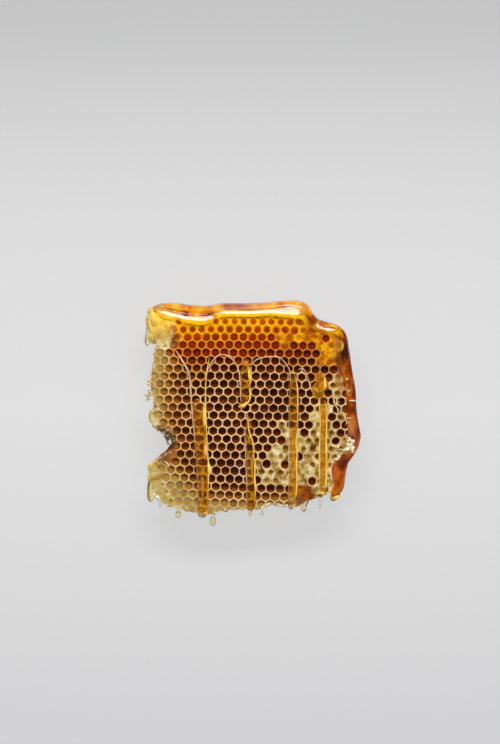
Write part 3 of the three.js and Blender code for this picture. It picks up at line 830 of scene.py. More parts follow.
def face_masks(points, kinds, cells, away, broad, fine):
    """The masks that only the shown layer has: the film of honey, the coat's lip, the runs, the pale wax."""
    x, y = from_first_cell(points).T
    flat = points[:, :2]
    film_edge = np.interp(x, *np.array(FILM_EDGE).T)
    under_lip = under_coat(flat) / MM
    sheen_share = 1 - apart_from(points, PAINTED_SHEEN_SPOT)
    return {
        "film": ramp_up(y + 1.2 * fine - film_edge, -1.5, 1.5),
        "height": np.clip((y - HONEY_SLANT * x + 1.5 * broad - EMPTIEST) / (FULLEST - EMPTIEST), 0, 1),
        "gold": kinds == FULL,
        "dim": ramp_up(2.2 - away + 0.6 * fine, 0, 0.9) * ramp_up(draw(cells, 6), 0.1, 0.9),
        "under": ramp_up(under_lip, -0.5, 1.0),
        "thin": ramp_up(3.2 - under_lip + 0.5 * broad, 0, 1.5) * ramp_up(x, 34, 28),
        "lip": ramp_up(under_coat(flat, SIDE_STOPS) / MM + 1.6 * fine, -8, -2) * ramp_up(y, -34, -20),
        "run": ramp_up(under_run(flat), -0.1, 0.25),
        "bar": ramp_up(under_run(middle_of(cells)), 0.3, 0.6),
        "painted_sheen": ramp_up(sheen_share + 0.8 * fine, 0.1, 0.6),
        "pale": paleness(points),
    }


def keep_masks(layer, back):
    """Keeps on a finished layer's points the masks that its colours follow, each from 0 to 1."""
    points = get_points(layer.data)
    flat = points[:, :2]
    x, y = from_first_cell(points).T
    cells = cells_of(flat)
    kinds = kinds_of(cells, back)
    outward = 2 * MIDDLE_WALL - points[:, 2] if back else points[:, 2]
    depth = (FACE_HEIGHT - outward) / MM
    broad, fine = rough(flat, 11 * MM, 21), rough(flat, 2.5 * MM, 22)
    away = np.linalg.norm(flat - middle_of(cells), axis=1) / MM  # from the middle of the cell
    if back:
        round_mouth = clump = np.zeros(len(x))
        masks = dict.fromkeys(ONLY_ON_FACE, clump)
    else:
        round_mouth = ramp_up(2.35 - away + 0.15 * fine, 0, 0.35) * (1 - ramp_up(under_run(flat), -0.2, 0))
        clump = ramp_up(depth_in_patches(points, SMOOTH_PATCHES) + 1.2 * broad + fine, -2.5, 2)
        masks = face_masks(points, kinds, cells, away, broad, fine)
    hole = np.maximum(ramp_up(depth, 0.35, 1.1), round_mouth)
    pit = ramp_up(2.3 - away + 0.7 * fine, 0, 1.5) * (0.2 + 0.8 * draw(cells, 4))
    on_side = depth_inside(flat, outline) / MM < SIDE_STARTS
    beside = beside_coat(flat)
    masks.update({
        "tone": draw(cells, 3),
        "hole": np.where((kinds == OPEN) | (kinds == TORN), hole, 0),
        "cap": kinds == CAPPED,
        "clump": clump,
        "pit": np.where(kinds == CAPPED, pit, 0) * (1 - clump),
        "warm": ramp_up(-x + 5 * broad + 0.12 * (-y - 20), 24, 50),
        "side": ramp_up(depth, 0.8, 2) * on_side * (1 - beside),
        "flank": ramp_up(depth, 1.5, 5) * on_side * beside * (1 - masks["under"]),
        "soaked": spots_on(points, SOAKED_SPOTS, fine),
        "brown": spots_on(points, BROWN_SPOTS, fine),
    })
    for name, values in masks.items():
        set_values(layer.data, name, values)


def mask_of(tree, name):
    """The output of a mask kept on the mesh."""
    node = tree.nodes.new("ShaderNodeAttribute")
    node.attribute_name = name
    return node.outputs["Fac"]


def worked(operation, first, second):
    """The output of a sum on two values, each an output or a number."""
    node = tree_of(first, second).nodes.new("ShaderNodeMath")
    node.operation = operation
    for socket, given in zip(node.inputs, (first, second)):
        feed(socket, given)
    return node.outputs["Value"]


def patch_group():
    """A shader group of soft patches: their place, size, detail and stretch go in, and a share comes out."""
    group = bpy.data.node_groups.new("soft patches", "ShaderNodeTree")
    for name, kind in (("Place", "Vector"), ("Size", "Float"), ("Detail", "Float"), ("Stretch", "Vector")):
        group.interface.new_socket(name, in_out="INPUT", socket_type=f"NodeSocket{kind}")
    group.interface.new_socket("Share", in_out="OUTPUT", socket_type="NodeSocketFloat")
    given = group.nodes.new("NodeGroupInput").outputs
    scaled = group.nodes.new("ShaderNodeMapping")
    feed_all(scaled, {"Vector": given["Place"], "Scale": given["Stretch"]})
    patches = group.nodes.new("ShaderNodeTexNoise")
    feed_all(patches, {"Vector": scaled.outputs["Vector"], "Scale": worked("DIVIDE", 1, given["Size"]),
                       "Detail": given["Detail"]})
    feed(group.nodes.new("NodeGroupOutput").inputs["Share"], patches.outputs["Fac"])
    return group


SOFT_PATCHES = patch_group()


def noise_of(tree, size, detail=3, stretch=(1, 1, 1)):
    """The output of a noise whose patches are about this size, or longer where the stretch is below 1."""
    node = tree.nodes.new("ShaderNodeGroup")
    node.node_tree = SOFT_PATCHES
    feed_all(node, {"Place": place_on(tree), "Size": size, "Detail": detail})
    node.inputs["Stretch"].default_value = stretch
    return node.outputs["Share"]


def bumped(shader, height, depth):
    """Gives the shader relief from a height."""
    node = tree_of(height).nodes.new("ShaderNodeBump")
    feed_all(node, {"Strength": 1, "Distance": depth, "Height": height})
    feed(shader.inputs["Normal"], node.outputs["Normal"])


# Colours of the wax. Rims of dry cells, of warmer and of paler ones, and of those under the film of honey.
DRY_RIM, AMBER_RIM, WARM_RIM, PALE_RIM = (240, 202, 148), (226, 160, 92), (232, 184, 116), (214, 188, 124)
WET_RIMS = [(0.0, (230, 180, 112)), (0.25, (226, 158, 78)), (0.42, (224, 142, 56)), (0.58, (232, 136, 34)),
            (0.8, (255, 188, 16)), (1.0, (255, 220, 40))]
# A pale colour painted on the wet rims in one patch: a painted sheen.
PAINTED_SHEEN = (226, 212, 206)
# The honey in the cells: from the dry middle up to the top edge, warmer at the left, and pale with wax.
CELL_HONEY = [(0.0, (132, 62, 22)), (0.25, (128, 50, 18)), (0.42, (136, 40, 6)), (0.6, (146, 42, 1)),
              (0.74, (166, 52, 0)), (0.86, (180, 64, 0)), (0.96, (206, 90, 0)), (1.0, (226, 114, 0))]
WARM_HONEY = [(0.0, (132, 62, 22)), (0.35, (150, 80, 22)), (0.7, (156, 86, 24)), (1.0, (166, 100, 34))]
PALE_HONEY = [(0.0, (156, 86, 24)), (0.5, (168, 106, 34)), (1.0, (180, 138, 68))]
DARKER_CELL = (70, 26, 14)
# Cells that are full to the brim.
GOLD = [(0.4, (160, 78, 4)), (0.49, (206, 120, 4)), (0.58, (240, 170, 20))]
DIM_CELL = (146, 62, 6)
# Cappings with their pits and torn edges, and smooth wax.
CAPPINGS = [(0.36, (114, 76, 30)), (0.44, (184, 148, 78)), (0.54, (222, 194, 124)), (0.66, (248, 234, 196))]
PIT, TORN_SIDE = (150, 102, 38), (178, 116, 54)
CLUMP = [(0.38, (176, 134, 62)), (0.46, (206, 170, 88)), (0.54, (200, 176, 112)), (0.62, (226, 206, 150))]
YELLOW_WAX = [(0.4, (240, 184, 50)), (0.5, (255, 220, 92)), (0.6, (250, 208, 84))]
# The torn side, wax that is soaked through, and the side behind the coat with its painted glow, emission that
# stands in for light scattered in the honey over it.
TORN_WAX = [(0.36, (150, 98, 40)), (0.46, (204, 164, 92)), (0.56, (222, 192, 130)), (0.66, (240, 220, 172))]
SOAKED = [(0.42, (112, 44, 12)), (0.58, (172, 88, 28))]
FLANK = [(0.34, (172, 86, 8)), (0.5, (208, 126, 12)), (0.66, (240, 180, 36))]
FLANK_GLOW = [(0.34, (74, 34, 0)), (0.5, (102, 58, 0)), (0.66, (140, 92, 4))]
# The face under the coat; the bright yellow where the lip is thin, painted light in place of the light that
# the lip's honey bends onto the face; the brown wax; and their painted glow, emission that stands in for
# light scattered in the honey.
COVERED_WAX = [(0.34, (150, 66, 4)), (0.42, (206, 120, 8)), (0.52, (244, 182, 24)), (0.64, (255, 224, 70))]
COVERED_GLOW = [(0.34, (50, 16, 0)), (0.42, (104, 58, 0)), (0.52, (146, 106, 0)), (0.64, (176, 140, 10))]
LIP_PAINTED_LIGHT, LIP_GLOW, BROWN_WAX, BROWN_GLOW = (255, 226, 40), (206, 158, 0), (176, 88, 14), (76, 30, 0)
# Rims and cells under a run, and the painted glow of the film and the runs, emission that stands in for light
# scattered in their honey.
RUN_WAX = [(0.38, (196, 120, 14)), (0.5, (236, 172, 44)), (0.64, (255, 214, 110))]
RUN_CELL, RUN_FULL = (172, 80, 12), (230, 150, 28)
FILM_GLOW, RUN_GLOW, NO_GLOW = (84, 44, 0), (112, 80, 10), (0, 0, 0)

wax, tree, shader = new_material("beeswax")
grain, blotches, patches = noise_of(tree, 0.9 * MM), noise_of(tree, 3.5 * MM), noise_of(tree, 7 * MM)
streaks = noise_of(tree, 1.7 * MM, stretch=(0.4, 1, 1))
strips = noise_of(tree, 1.6 * MM, stretch=(1, 1, 0.15))
mottled, stripy = mixed(0.4, patches, blotches), mixed(0.4, strips, patches)
height, tone, hole, film = [mask_of(tree, name) for name in ("height", "tone", "hole", "film")]
pale, warm, under, run = [mask_of(tree, name) for name in ("pale", "warm", "under", "run")]
brown, lip, side, flank = [mask_of(tree, name) for name in ("brown", "lip", "side", "flank")]
soaked = worked("MULTIPLY", mask_of(tree, "soaked"), worked("SUBTRACT", 1, run))
run_wax = ramp_of(streaks, RUN_WAX)

covered = mixed(mask_of(tree, "thin"), ramp_of(patches, COVERED_WAX), LIP_PAINTED_LIGHT)
covered = mixed(brown, covered, BROWN_WAX)
rims = mixed(share_of(height, 0.1, 0.5), DRY_RIM, AMBER_RIM)
rims = mixed(warm, rims, WARM_RIM)
rims = mixed(share_of(pale, 0.3, 1), rims, PALE_RIM)
rims = mixed(film, rims, ramp_of(height, WET_RIMS))
# The painted sheen on the rims in one patch.
rims = mixed(share_of(mask_of(tree, "painted_sheen"), 0, 1, 0, 0.85), rims, PAINTED_SHEEN)
rims = mixed(run, rims, run_wax)
rims = mixed(under, rims, covered)

in_middle = ramp_of(height, CELL_HONEY)
in_cells = mixed(share_of(warm, 0, 0.12), in_middle, ramp_of(warm, WARM_HONEY))
in_cells = mixed(share_of(pale, 0, 0.15), in_cells, ramp_of(pale, PALE_HONEY))
in_cells = mixed(worked("MULTIPLY", film, share_of(height, 0.1, 0.5)), in_cells, in_middle)
in_cells = mixed(share_of(tone, 0.55, 1, 0, 0.35), in_cells, DARKER_CELL)
barred = share_of(worked("MULTIPLY", mask_of(tree, "bar"), blotches), 0.34, 0.56)
in_cells = mixed(run, in_cells, mixed(barred, RUN_FULL, RUN_CELL))
colour = mixed(hole, rims, in_cells)

cappings = ramp_of(mixed(0.2, blotches, grain), CAPPINGS)
cappings = mixed(share_of(mask_of(tree, "pit"), 0.15, 0.6), cappings, PIT)
cappings = mixed(share_of(lip, 0, 1, 0, 0.75), cappings, TORN_SIDE)
cappings = mixed(share_of(run, 0, 1, 0, 0.7), cappings, run_wax)
colour = mixed(mask_of(tree, "cap"), colour, cappings)

filled = mixed(share_of(mask_of(tree, "dim"), 0, 1, 0, 0.9), ramp_of(mottled, GOLD), DIM_CELL)
filled = mixed(share_of(pale, 0.2, 0.6), filled, PALE_RIM)
filled = mixed(lip, filled, TORN_SIDE)
filled = mixed(under, filled, covered)
colour = mixed(mask_of(tree, "gold"), colour, filled)

smooth_wax = mixed(share_of(height, 0.75, 1), ramp_of(mottled, CLUMP), ramp_of(blotches, YELLOW_WAX))
colour = mixed(mask_of(tree, "clump"), colour, smooth_wax)
colour = mixed(side, colour, ramp_of(stripy, TORN_WAX))
colour = mixed(share_of(soaked, 0, 1, 0, 0.85), colour, ramp_of(patches, SOAKED))
flank_wax = mixed(share_of(brown, 0, 1, 0, 0.4), ramp_of(patches, FLANK), BROWN_WAX)
colour = mixed(flank, colour, flank_wax)

# Painted glow: emission that stands in for light scattered in the honey on the face, the coat, the runs and
# the flank.
covered_glow = mixed(mask_of(tree, "thin"), ramp_of(patches, COVERED_GLOW), LIP_GLOW)
covered_glow = mixed(brown, covered_glow, BROWN_GLOW)
glow = mixed(worked("MULTIPLY", film, share_of(height, 0.3, 1)), NO_GLOW, FILM_GLOW)
glow = mixed(run, glow, RUN_GLOW)
glow = mixed(under, glow, covered_glow)
glow = mixed(worked("SUBTRACT", 1, worked("MAXIMUM", hole, soaked)), NO_GLOW, glow)
glow = mixed(flank, glow, ramp_of(patches, FLANK_GLOW))

wetness = worked("MAXIMUM", film, soaked)
dull = worked("MAXIMUM", side, worked("MAXIMUM", under, run))
wet_skin = worked("MULTIPLY", wetness, worked("SUBTRACT", 1, dull))
feed_all(shader, {
    "Base Color": colour, "Emission Color": glow, "Emission Strength": 1, "Specular IOR Level": 0,
    "Roughness": share_of(wetness, 0, 1, 0.6, 0.35), "Coat Roughness": 0.08,
    "Coat Weight": worked("MULTIPLY", wet_skin, 0.4),
})
bumped(shader, worked("ADD", grain, blotches), 0.25 * MM)


def dress(piece, material, crease=None):
    """Gives a finished piece its material and smooths it, up to the angle of a crease if it has any."""
    piece.data.materials.clear()
    piece.data.materials.append(material)
    select_only(piece)
    if crease:
        bpy.ops.object.shade_smooth_by_angle(angle=math.radians(crease))
    else:
        bpy.ops.object.shade_smooth()


for layer, is_back in ((front, False), (back, True)):
    keep_masks(layer, is_back)
    dress(layer, wax, crease=50)
    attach(layer, "root")
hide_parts("comb")

# The honey coat. Thick honey has run over the top edge and down the right-hand side, where it wraps the torn
# wax from its lip on the face to just above the table. It is swept along the outline as one even skin.
COAT_FOOT = 0.7 * MM
SUNK = 1.2 * MM  # how far the honey reaches into the wax, so that no air shows between them
SECTION_STEPS = 4
SHOULDER_FALL = math.tan(math.radians(22.5))  # tilted so that the shoulder mirrors the soft box to the camera
COAT_SKIN = (0.45 * MM, 4)  # the size of the skin's grid, and how often it is smoothed


def coat_section(reach, thickness, lip, crest, shoulder, shoulder_end):
    """The coat's section as steps out from the outline and heights, over the outside and back in the wax."""
    face = FACE_HEIGHT
    top = face + crest
    edge = top - (shoulder_end - shoulder) * SHOULDER_FALL
    hollow = max(edge - 0.6 * MM, face + 0.1 * MM) if crest > 1 * MM else edge - 0.2 * MM
    outer = thickness * 0.5 + reach * 0.3 + 0.6 * MM
    span = max(outer + shoulder, 0.4 * MM)
    outside = open_line([
        (-lip - 0.9 * MM, face - 0.3 * MM), (-lip, face + 0.1 * MM),
        (-lip * 0.6 - shoulder_end * 0.4, face + crest * 0.5), (-shoulder_end - 0.5 * MM, top),
        (-shoulder_end, top - 0.03 * crest), (-(shoulder + shoulder_end) / 2, (top + edge) / 2),
        (-shoulder, edge), (-shoulder + 0.18 * span, hollow + 0.1 * MM), (-shoulder + 0.4 * span, hollow),
        (-shoulder + 0.85 * span, hollow - 0.3 * MM), (thickness * 0.85 + reach * 0.75, hollow - 2.6 * MM),
        (reach + thickness, face - 7 * MM), (reach + thickness, 12 * MM), (reach + thickness * 0.9, 4 * MM),
        (reach + thickness * 0.4, COAT_FOOT),
    ], SECTION_STEPS)
    inside = [(reach - SUNK, COAT_FOOT), (reach - SUNK, 6 * MM), (reach - SUNK, 13 * MM),
              (reach * 0.4 - SUNK, 20 * MM), (-SUNK, 25 * MM), (-lip * 0.5 - SUNK, face - SUNK)]
    return np.vstack([outside, inside])


def remeshed(thing, voxel, smoothing):
    """Makes a body one even skin, then relaxes it."""
    remesh = thing.modifiers.new("skin", "REMESH")
    remesh.mode = "VOXEL"
    remesh.voxel_size = voxel
    relax = thing.modifiers.new("relax", "SMOOTH")
    relax.factor = 0.5
    relax.iterations = smoothing
    apply_modifiers(thing)


def coat_along(name, stops, ragged):
    """A coat of honey along a stretch of the outline. Its lip strays by the ragged share of its width."""
    steps, sizes = stations_of(stops)
    sizes[:, 1] *= 1 + ragged * rough(outline[steps, :2], 4 * MM, 23)
    rings = []
    for (x, y, reach), way, station in zip(outline[steps], outward_ways(outline)[steps], sizes):
        section = coat_section(reach, *station)
        rings.append(np.column_stack([(x, y) + section[:, :1] * way, section[:, 1]]))
    body = swept(name, rings)
    remeshed(body, *COAT_SKIN)
    return body


HONEY_TINT = (1.0, 0.86, 0.08, 1)
HONEY_MIDDLE = (255, 252, 244)
# The edges of clear honey that turn away from the eye take a darker colour: painted shade for the dark rim
# that refraction gives it.
EDGE_BLEND = 0.28  # over how much of the turn away from the eye the edge's colour comes in


def honey_look(name, density, edge_shade, edge_from, ripple):
    """Clear honey: how fast it takes light out, per metre, the colour of the painted shade on its edges and
    where it starts, and its ripple.
    """
    material, tree, shader = new_material(name)
    grazing = tree.nodes.new("ShaderNodeLayerWeight")
    grazing.inputs["Blend"].default_value = 0.5
    at_edge = share_of(grazing.outputs["Facing"], edge_from, edge_from + EDGE_BLEND)
    # Edges that turn away from the eye are given a darker colour: painted shade.
    feed_all(shader, {"Base Color": mixed(at_edge, HONEY_MIDDLE, edge_shade), "Transmission Weight": 1,
                      "IOR": 1.49, "Roughness": 0.04})
    absorption = tree.nodes.new("ShaderNodeVolumeAbsorption")
    feed_all(absorption, {"Color": HONEY_TINT, "Density": density})
    feed(tree.nodes["Material Output"].inputs["Volume"], absorption.outputs["Volume"])
    fine = worked("MULTIPLY", noise_of(tree, 1.4 * MM, 1), ripple)
    bumped(shader, worked("ADD", noise_of(tree, 5 * MM, 1), fine), 0.15 * MM)
    return material


mantle = coat_along("honey_mantle", COAT_STOPS, ragged=0.1)
dress(mantle, honey_look("honey", density=220, edge_shade=(144, 72, 22), edge_from=0.68, ripple=0.16))
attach(mantle, "root")
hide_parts("honey_coat")

# The dark honey. Older honey with wax in it has run down the right-hand side and lets no light through. It is
# swept along the outline like the coat. Its tones are given as shares of the way from SIDE_LOW to SIDE_HIGH,
# and the pinkish stops part way down are a painted sheen.
SIDE_LOW, SIDE_HIGH = -50 * MM, 48 * MM
# The pinkish stops at 0.26 and 0.4 are a painted sheen on the dark honey.
SIDE_TONES_AND_SHEEN = [(0.0, (206, 104, 14)), (0.14, (190, 80, 16)), (0.26, (176, 84, 46)), (0.4, (176, 92, 56)),
              (0.52, (184, 78, 8)), (0.66, (168, 68, 4)), (0.8, (140, 58, 6)), (1.0, (150, 70, 10))]
DARK_FLOW, LIGHT_FLOW = (84, 26, 8), (222, 130, 40)
material, tree, shader = new_material("dark honey")
flows = noise_of(tree, 5 * MM, 3, stretch=(1, 0.6, 0.6))
tones_and_sheen = ramp_of(share_of(axis_of(place_on(tree), "Y"), SIDE_LOW, SIDE_HIGH), SIDE_TONES_AND_SHEEN)
tones_and_sheen = mixed(share_of(flows, 0.38, 0.5, 0.75, 0), tones_and_sheen, DARK_FLOW)
tones_and_sheen = mixed(share_of(flows, 0.5, 0.64, 0, 0.6), tones_and_sheen, LIGHT_FLOW)
feed_all(shader, {"Base Color": tones_and_sheen, "Roughness": 0.3, "Specular IOR Level": 0, "Coat Weight": 0.12,
                  "Coat Roughness": 0.2})
bumped(shader, noise_of(tree, 5 * MM, 1), 0.6 * MM)
dark_honey = coat_along("dark_honey", SIDE_STOPS, ragged=0.9)
dress(dark_honey, material)
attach(dark_honey, "root")
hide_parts("honey_coat")

# The runs and drops. Honey has run down over the face in four courses, two of them broken in two. It lies on
# the wax as an oval tube half sunk in it, bends over the lower edge and hangs from that edge in drops.
RUN_SIDES, RUN_STEPS, RUN_SKIN = 20, 8, (0.4 * MM, 4)
DROP_SIDES, STRAND_SIDES, STRAND_STEPS, DROP_SKIN = 16, 12, 6, (0.3 * MM, 3)
PROFILE_STEPS = 4


def oval_tube(name, stops, sides, steps):
    """A tube with an oval section along its stops, which are given round the first cell."""
    line = open_line(stops, steps) * MM
    line[:, :2] += DRAWN_ROUND
    along = np.gradient(line[:, :3], axis=0)
    along /= np.linalg.norm(along, axis=1)[:, None]
    wide = np.array([1.0, 0, 0]) - along[:, :1] * along
    wide /= np.linalg.norm(wide, axis=1)[:, None]
    thick = np.cross(wide, along)
    turns = np.arange(sides) / sides * 2 * math.pi
    rings = [
        spot[:3] + np.cos(turns)[:, None] * across * spot[3] / 2 + np.sin(turns)[:, None] * up * spot[4] / 2
        for spot, across, up in zip(line, wide, thick)
    ]
    return swept(name, rings)


# Drops that hang from the lower edge and the corners: x and y of the lowest point, height, radius and length.
DROPS = [
    (-62.8, 35.8, 19, 1.6, 17.5), (-45, -65.8, 9, 1.9, 8.4), (-24.6, -70.3, 10, 2.0, 11.3),
    (4.6, -64, 12, 0.9, 7), (-55.8, -59.5, 8, 0.9, 7),
]
# Thicker drops that hang slanting or from a broad neck, as x, y, height, width and thickness.
STRANDS = [
    [(-60.6, -44, 19, 4, 3.4), (-60.9, -47, 18, 4.2, 4), (-61, -50, 17, 4.4, 4.4), (-61, -53, 17, 4, 4),
     (-61, -55, 17, 2.4, 2.4), (-61, -55.8, 17, 0.6, 0.6)],
    [(33.5, -50.5, 16, 3, 3), (31, -55, 15, 2.4, 2.4), (29.6, -58, 14, 2.8, 2.8), (29, -60.4, 14, 3.2, 3.2),
     (28.9, -61.6, 14, 1.6, 1.6)],
    [(49.6, -48, 21, 2, 5), (48.4, -50.5, 21, 4, 7), (46.9, -52.4, 21, 4.6, 7), (45.9, -53.8, 21, 3.8, 5),
     (45.4, -54.8, 21, 1.4, 2)],
]
# A drop's outline from its lowest point up: share of its length, and share of its radius.
DROP_PROFILE = [
    (0, 0.05), (0.03, 0.5), (0.1, 0.85), (0.2, 1), (0.32, 0.86), (0.45, 0.55), (0.6, 0.4), (0.8, 0.42),
    (1, 0.7),
]


def drop(x, y, z, radius, length):
    """One hanging drop, its neck reaching into the comb."""
    profile = open_line(DROP_PROFILE, PROFILE_STEPS)
    stops = [(x, y + share * length, z, 2 * wide * radius, 2 * wide * radius) for share, wide in profile]
    return oval_tube("drop", stops, DROP_SIDES, 1)


def joined(name, things):
    """Several objects as one."""
    select_only(*things)
    bpy.ops.object.join()
    bpy.context.object.name = name
    return bpy.context.object


runs = joined("honey_runs", [oval_tube("run", stops, RUN_SIDES, RUN_STEPS) for stops in RUNS])
remeshed(runs, *RUN_SKIN)
dress(runs, honey_look("run honey", density=120, edge_shade=(214, 130, 40), edge_from=0.55, ripple=0.2))
strands = [oval_tube("strand", stops, STRAND_SIDES, STRAND_STEPS) for stops in STRANDS]
drops = joined("honey_drops", strands + [drop(*sizes) for sizes in DROPS])
remeshed(drops, *DROP_SKIN)
dress(drops, honey_look("fresh honey", density=190, edge_shade=(84, 76, 24), edge_from=0.32, ripple=0))
for piece in (runs, drops):
    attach(piece, "root")
    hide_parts("comb")

# The beads. Where the film of honey on the face ends, and along the sides of the runs, it stands up in a thin
# bead. Each is a round thread half sunk in the wax, here its width and the x and y of its bends. Their pale
# and golden colours and their glow are painted highlights and glints on these raised edges.
PALE_HIGHLIGHT_BEADS = [
    (0.85, [(-47.8, 36.1), (-42.5, 28), (-38.4, 20.4), (-37.3, 12), (-36.8, 4), (-35.6, -10), (-34.6, -19.3),
            (-33.9, -28), (-33.1, -39.7), (-32.4, -52), (-32.2, -60)]),
    (0.6, [(-27.9, 18.6), (-26.4, 24), (-22.5, 29.2), (-18.6, 30.9), (-14.6, 29.4), (-11, 25.8), (-8.9, 20),
           (-8.2, 11), (-8.1, 3)]),
    (0.55, [(-6.4, -13), (-5.2, -21), (-5, -32), (-4.6, -44), (-4.4, -56)]),
    (0.6, [(-1.8, 24.6), (1.8, 28.1), (9.3, 29.7), (14, 29.2), (17, 27.1), (20.4, 21.8), (20.9, 14.5),
           (20.4, 0), (20.2, -24), (19.9, -56)]),
    (0.55, [(25.3, 21.8), (27.9, 22.7), (30.1, 20.3), (31.3, 16.9), (32.6, 11.6), (34.6, 7)]),
    (1.5, [(-48.8, 46), (-48.4, 43.8), (-48.2, 41.2)]),
    (0.9, [(45, -30.5), (45.4, -33), (44.7, -36), (44.6, -40), (45.6, -44)]),
]
GOLDEN_GLINT_BEADS = [
    (1.2, [(-52.6, -31.4), (-50.6, -32.8), (-49.4, -35.4)]),
    (2.8, [(49.2, -51), (48, -52.4), (46.4, -53), (45, -52.6)]),
    (0.7, [(-26.2, 29.1), (-27.4, 22.7), (-28.3, 15.7), (-28.5, 4), (-27.9, -13.5), (-27.2, -28),
           (-26.6, -33.3), (-26.2, -36.8), (-26.7, -40.3), (-27, -45.6), (-27.1, -60)]),
    (2.2, [(-27, -32), (-26.4, -34.5), (-26, -37), (-26.7, -40.5)]),
    (1.0, [(-2, 25), (-2.1, 15.7), (-3.2, 12.8), (-2.4, 6.4), (-4.2, 2.3), (-7.5, 0.5), (-9.4, 0.6)]),
    (1.8, [(-4.2, 4), (-5.2, 2), (-7.5, 0.4), (-9.6, 0.8)]),
    (0.8, [(-4.1, -3), (-3.2, -13.5), (-1.2, -19.3), (-0.2, -25), (-0.6, -28.6), (0.4, -32), (0.2, -39.7),
           (0.5, -48.5), (-0.1, -57.2)]),
    (0.6, [(23.1, 20.4), (24.9, 12.8), (25.3, 4), (25.1, -13.5), (24.7, -18)]),
    (1.4, [(24.9, -13), (24.3, -20), (24.9, -28), (24.3, -33.9), (24.8, -41.5), (24.3, -48.5),
           (23.8, -54.3)]),
    (1.7, [(41.6, 17.6), (41, 14.6), (41.2, 12.2), (39.8, 10.2), (37.6, 9.2), (35.4, 10.6), (34.6, 12)]),
    (2.2, [(-29.4, 3), (-29.2, -6), (-29, -14)]),
    (1.9, [(-29, -17), (-28.7, -25), (-28.6, -31)]),
    (1.6, [(-30.6, -40), (-30.2, -46), (-30.4, -54)]),
    (1.8, [(-3, 24), (-3.2, 19), (-2.8, 14)]),
    (1.6, [(-1.4, -26), (-1.6, -34), (-1.2, -42)]),
    (1.1, [(41, 4), (41.9, -0.7), (42.1, -13.5), (41.8, -22), (42.1, -31), (41.8, -42.7), (41, -49.1)]),
    (0.9, [(38.3, 5.8), (38, -1.8), (38.4, -8), (38.1, -20), (37.9, -36), (38.3, -47.3)]),
]
BEAD_SIDES, BEAD_STEPS, BEAD_END = 8, 5, 0.1
SWELLS = 0.5  # how much a bead's width strays
SWELL_WAVE = 5


def threads(name, lines, height):
    """Beads at one height above the back as one piece."""
    tubes = []
    for width, bends in lines:
        swell = 1 + SWELLS * rough(np.array(bends), SWELL_WAVE, len(bends))
        widths = [BEAD_END, *(width * swell[1:-1]), BEAD_END]
        stops = [(x, y, height, wide, wide) for (x, y), wide in zip(bends, widths)]
        tubes.append(oval_tube("bead", stops, BEAD_SIDES, BEAD_STEPS))
    return joined(name, tubes)


# Each set of beads with its tints and glow: painted highlights and glints, with a painted glow.
for name, lines, height, darker, lighter, glow in (
    ("pale_highlight_beads", PALE_HIGHLIGHT_BEADS, 26.3, (214, 160, 110), (255, 222, 186), (40, 30, 24)),
    ("golden_glint_beads", GOLDEN_GLINT_BEADS, 26.6, (232, 172, 50), (255, 224, 120), (110, 80, 16)),
):
    material, tree, shader = new_material(name)
    feed_all(shader, {"Base Color": ramp_of(noise_of(tree, 6 * MM), [(0.35, darker), (0.65, lighter)]),
                      "Roughness": 0.25, "Emission Color": glow, "Emission Strength": 1, "Coat Weight": 0.3,
                      "Coat Roughness": 0.08})
    bumped(shader, noise_of(tree, 2 * MM), 0.2 * MM)
    piece = threads(name, lines, height)
    dress(piece, material)
    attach(piece, "root")
    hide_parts("comb")

# Torn flakes, fibres and lumps. Where the comb was pulled apart, scraps of its thin cell walls stand up on
# its edge and crushed wax clings in lumps and crumbs. A scrap is a small bent grid with a torn top and a thin
# wall. A lump is a ball with uneven dents, and lumps that touch are one skin.
FLAKE_THICK, FLAKE_TALL, LINE_FLAKE_TALL = 0.32, 1.1, 2.2
# Stretches with flakes: from and to in the outline's points, how many, how far inside the edge, how long.
FLAKE_STRETCHES = [
    (38.5, 41.5, 12, -0.2, 2.2), (46, 52, 22, -0.2, 2.4), (28, 37.5, 26, 0.1, 2.0), (25, 28, 8, 0, 2.0),
]
# Lines of flakes on the face: ends as x and y, how many, how far they stray, their length and thickness.
FLAKE_LINES = [
    ((54, 15), (54.4, 6), 7, 0.5, 2.6, 0.4), ((48, 3), (55.5, -9), 8, 2.0, 5.0, 0.36),
    ((55.6, -6), (56.5, -13), 4, 0.6, 3.4, 0.36), ((54, -18), (58, -26), 8, 1.4, 2.8, 0.5),
    ((49, -21), (54, -26), 7, 2.0, 3.0, 0.5), ((-61.3, 16.2), (-61.6, 13.4), 4, 0.3, 3.2, 0.4),
    ((-60.8, 9.2), (-62.4, 5), 6, 0.4, 3.4, 0.4),
]
# Brown fibres in the notch of the left edge.
FIBRE_LINES = [
    ((-56, -11.5), (-48, -16), 16, 1.0, 4.4, 0.3), ((-53, -13), (-51, -19), 6, 0.6, 5.0, 0.3),
    ((-49, -15), (-46.5, -20), 10, 0.8, 4.0, 0.3),
]


def flake(spot, length, tall, thick, bend, lean, turn, seed):
    """One scrap of a torn cell wall, which stands up from a spot: a bent, ragged strip with a thin wall."""
    bpy.ops.object.select_all(action="DESELECT")
    bpy.ops.mesh.primitive_grid_add(x_subdivisions=5, y_subdivisions=2, size=1)
    scrap = bpy.context.object
    along, up = get_points(scrap.data)[:, :2].T
    torn = rough(np.column_stack([along * 3, up]), 1, seed)
    up = (up + 0.5) * (0.6 + 0.8 * torn) - 0.3
    across = bend * along ** 2 + lean * up + 0.08 * rough(np.column_stack([along * 4, up]), 1, seed + 1)
    set_points(scrap.data, np.column_stack([along * length, across * length, up * tall]) * MM)
    scrap.location = spot
    scrap.rotation_euler = (0, 0, turn)
    bpy.ops.object.transform_apply()
    wall = scrap.modifiers.new("wall", "SOLIDIFY")
    wall.thickness = thick * MM
    wall.offset = 0
    apply_modifiers(scrap)
    return scrap


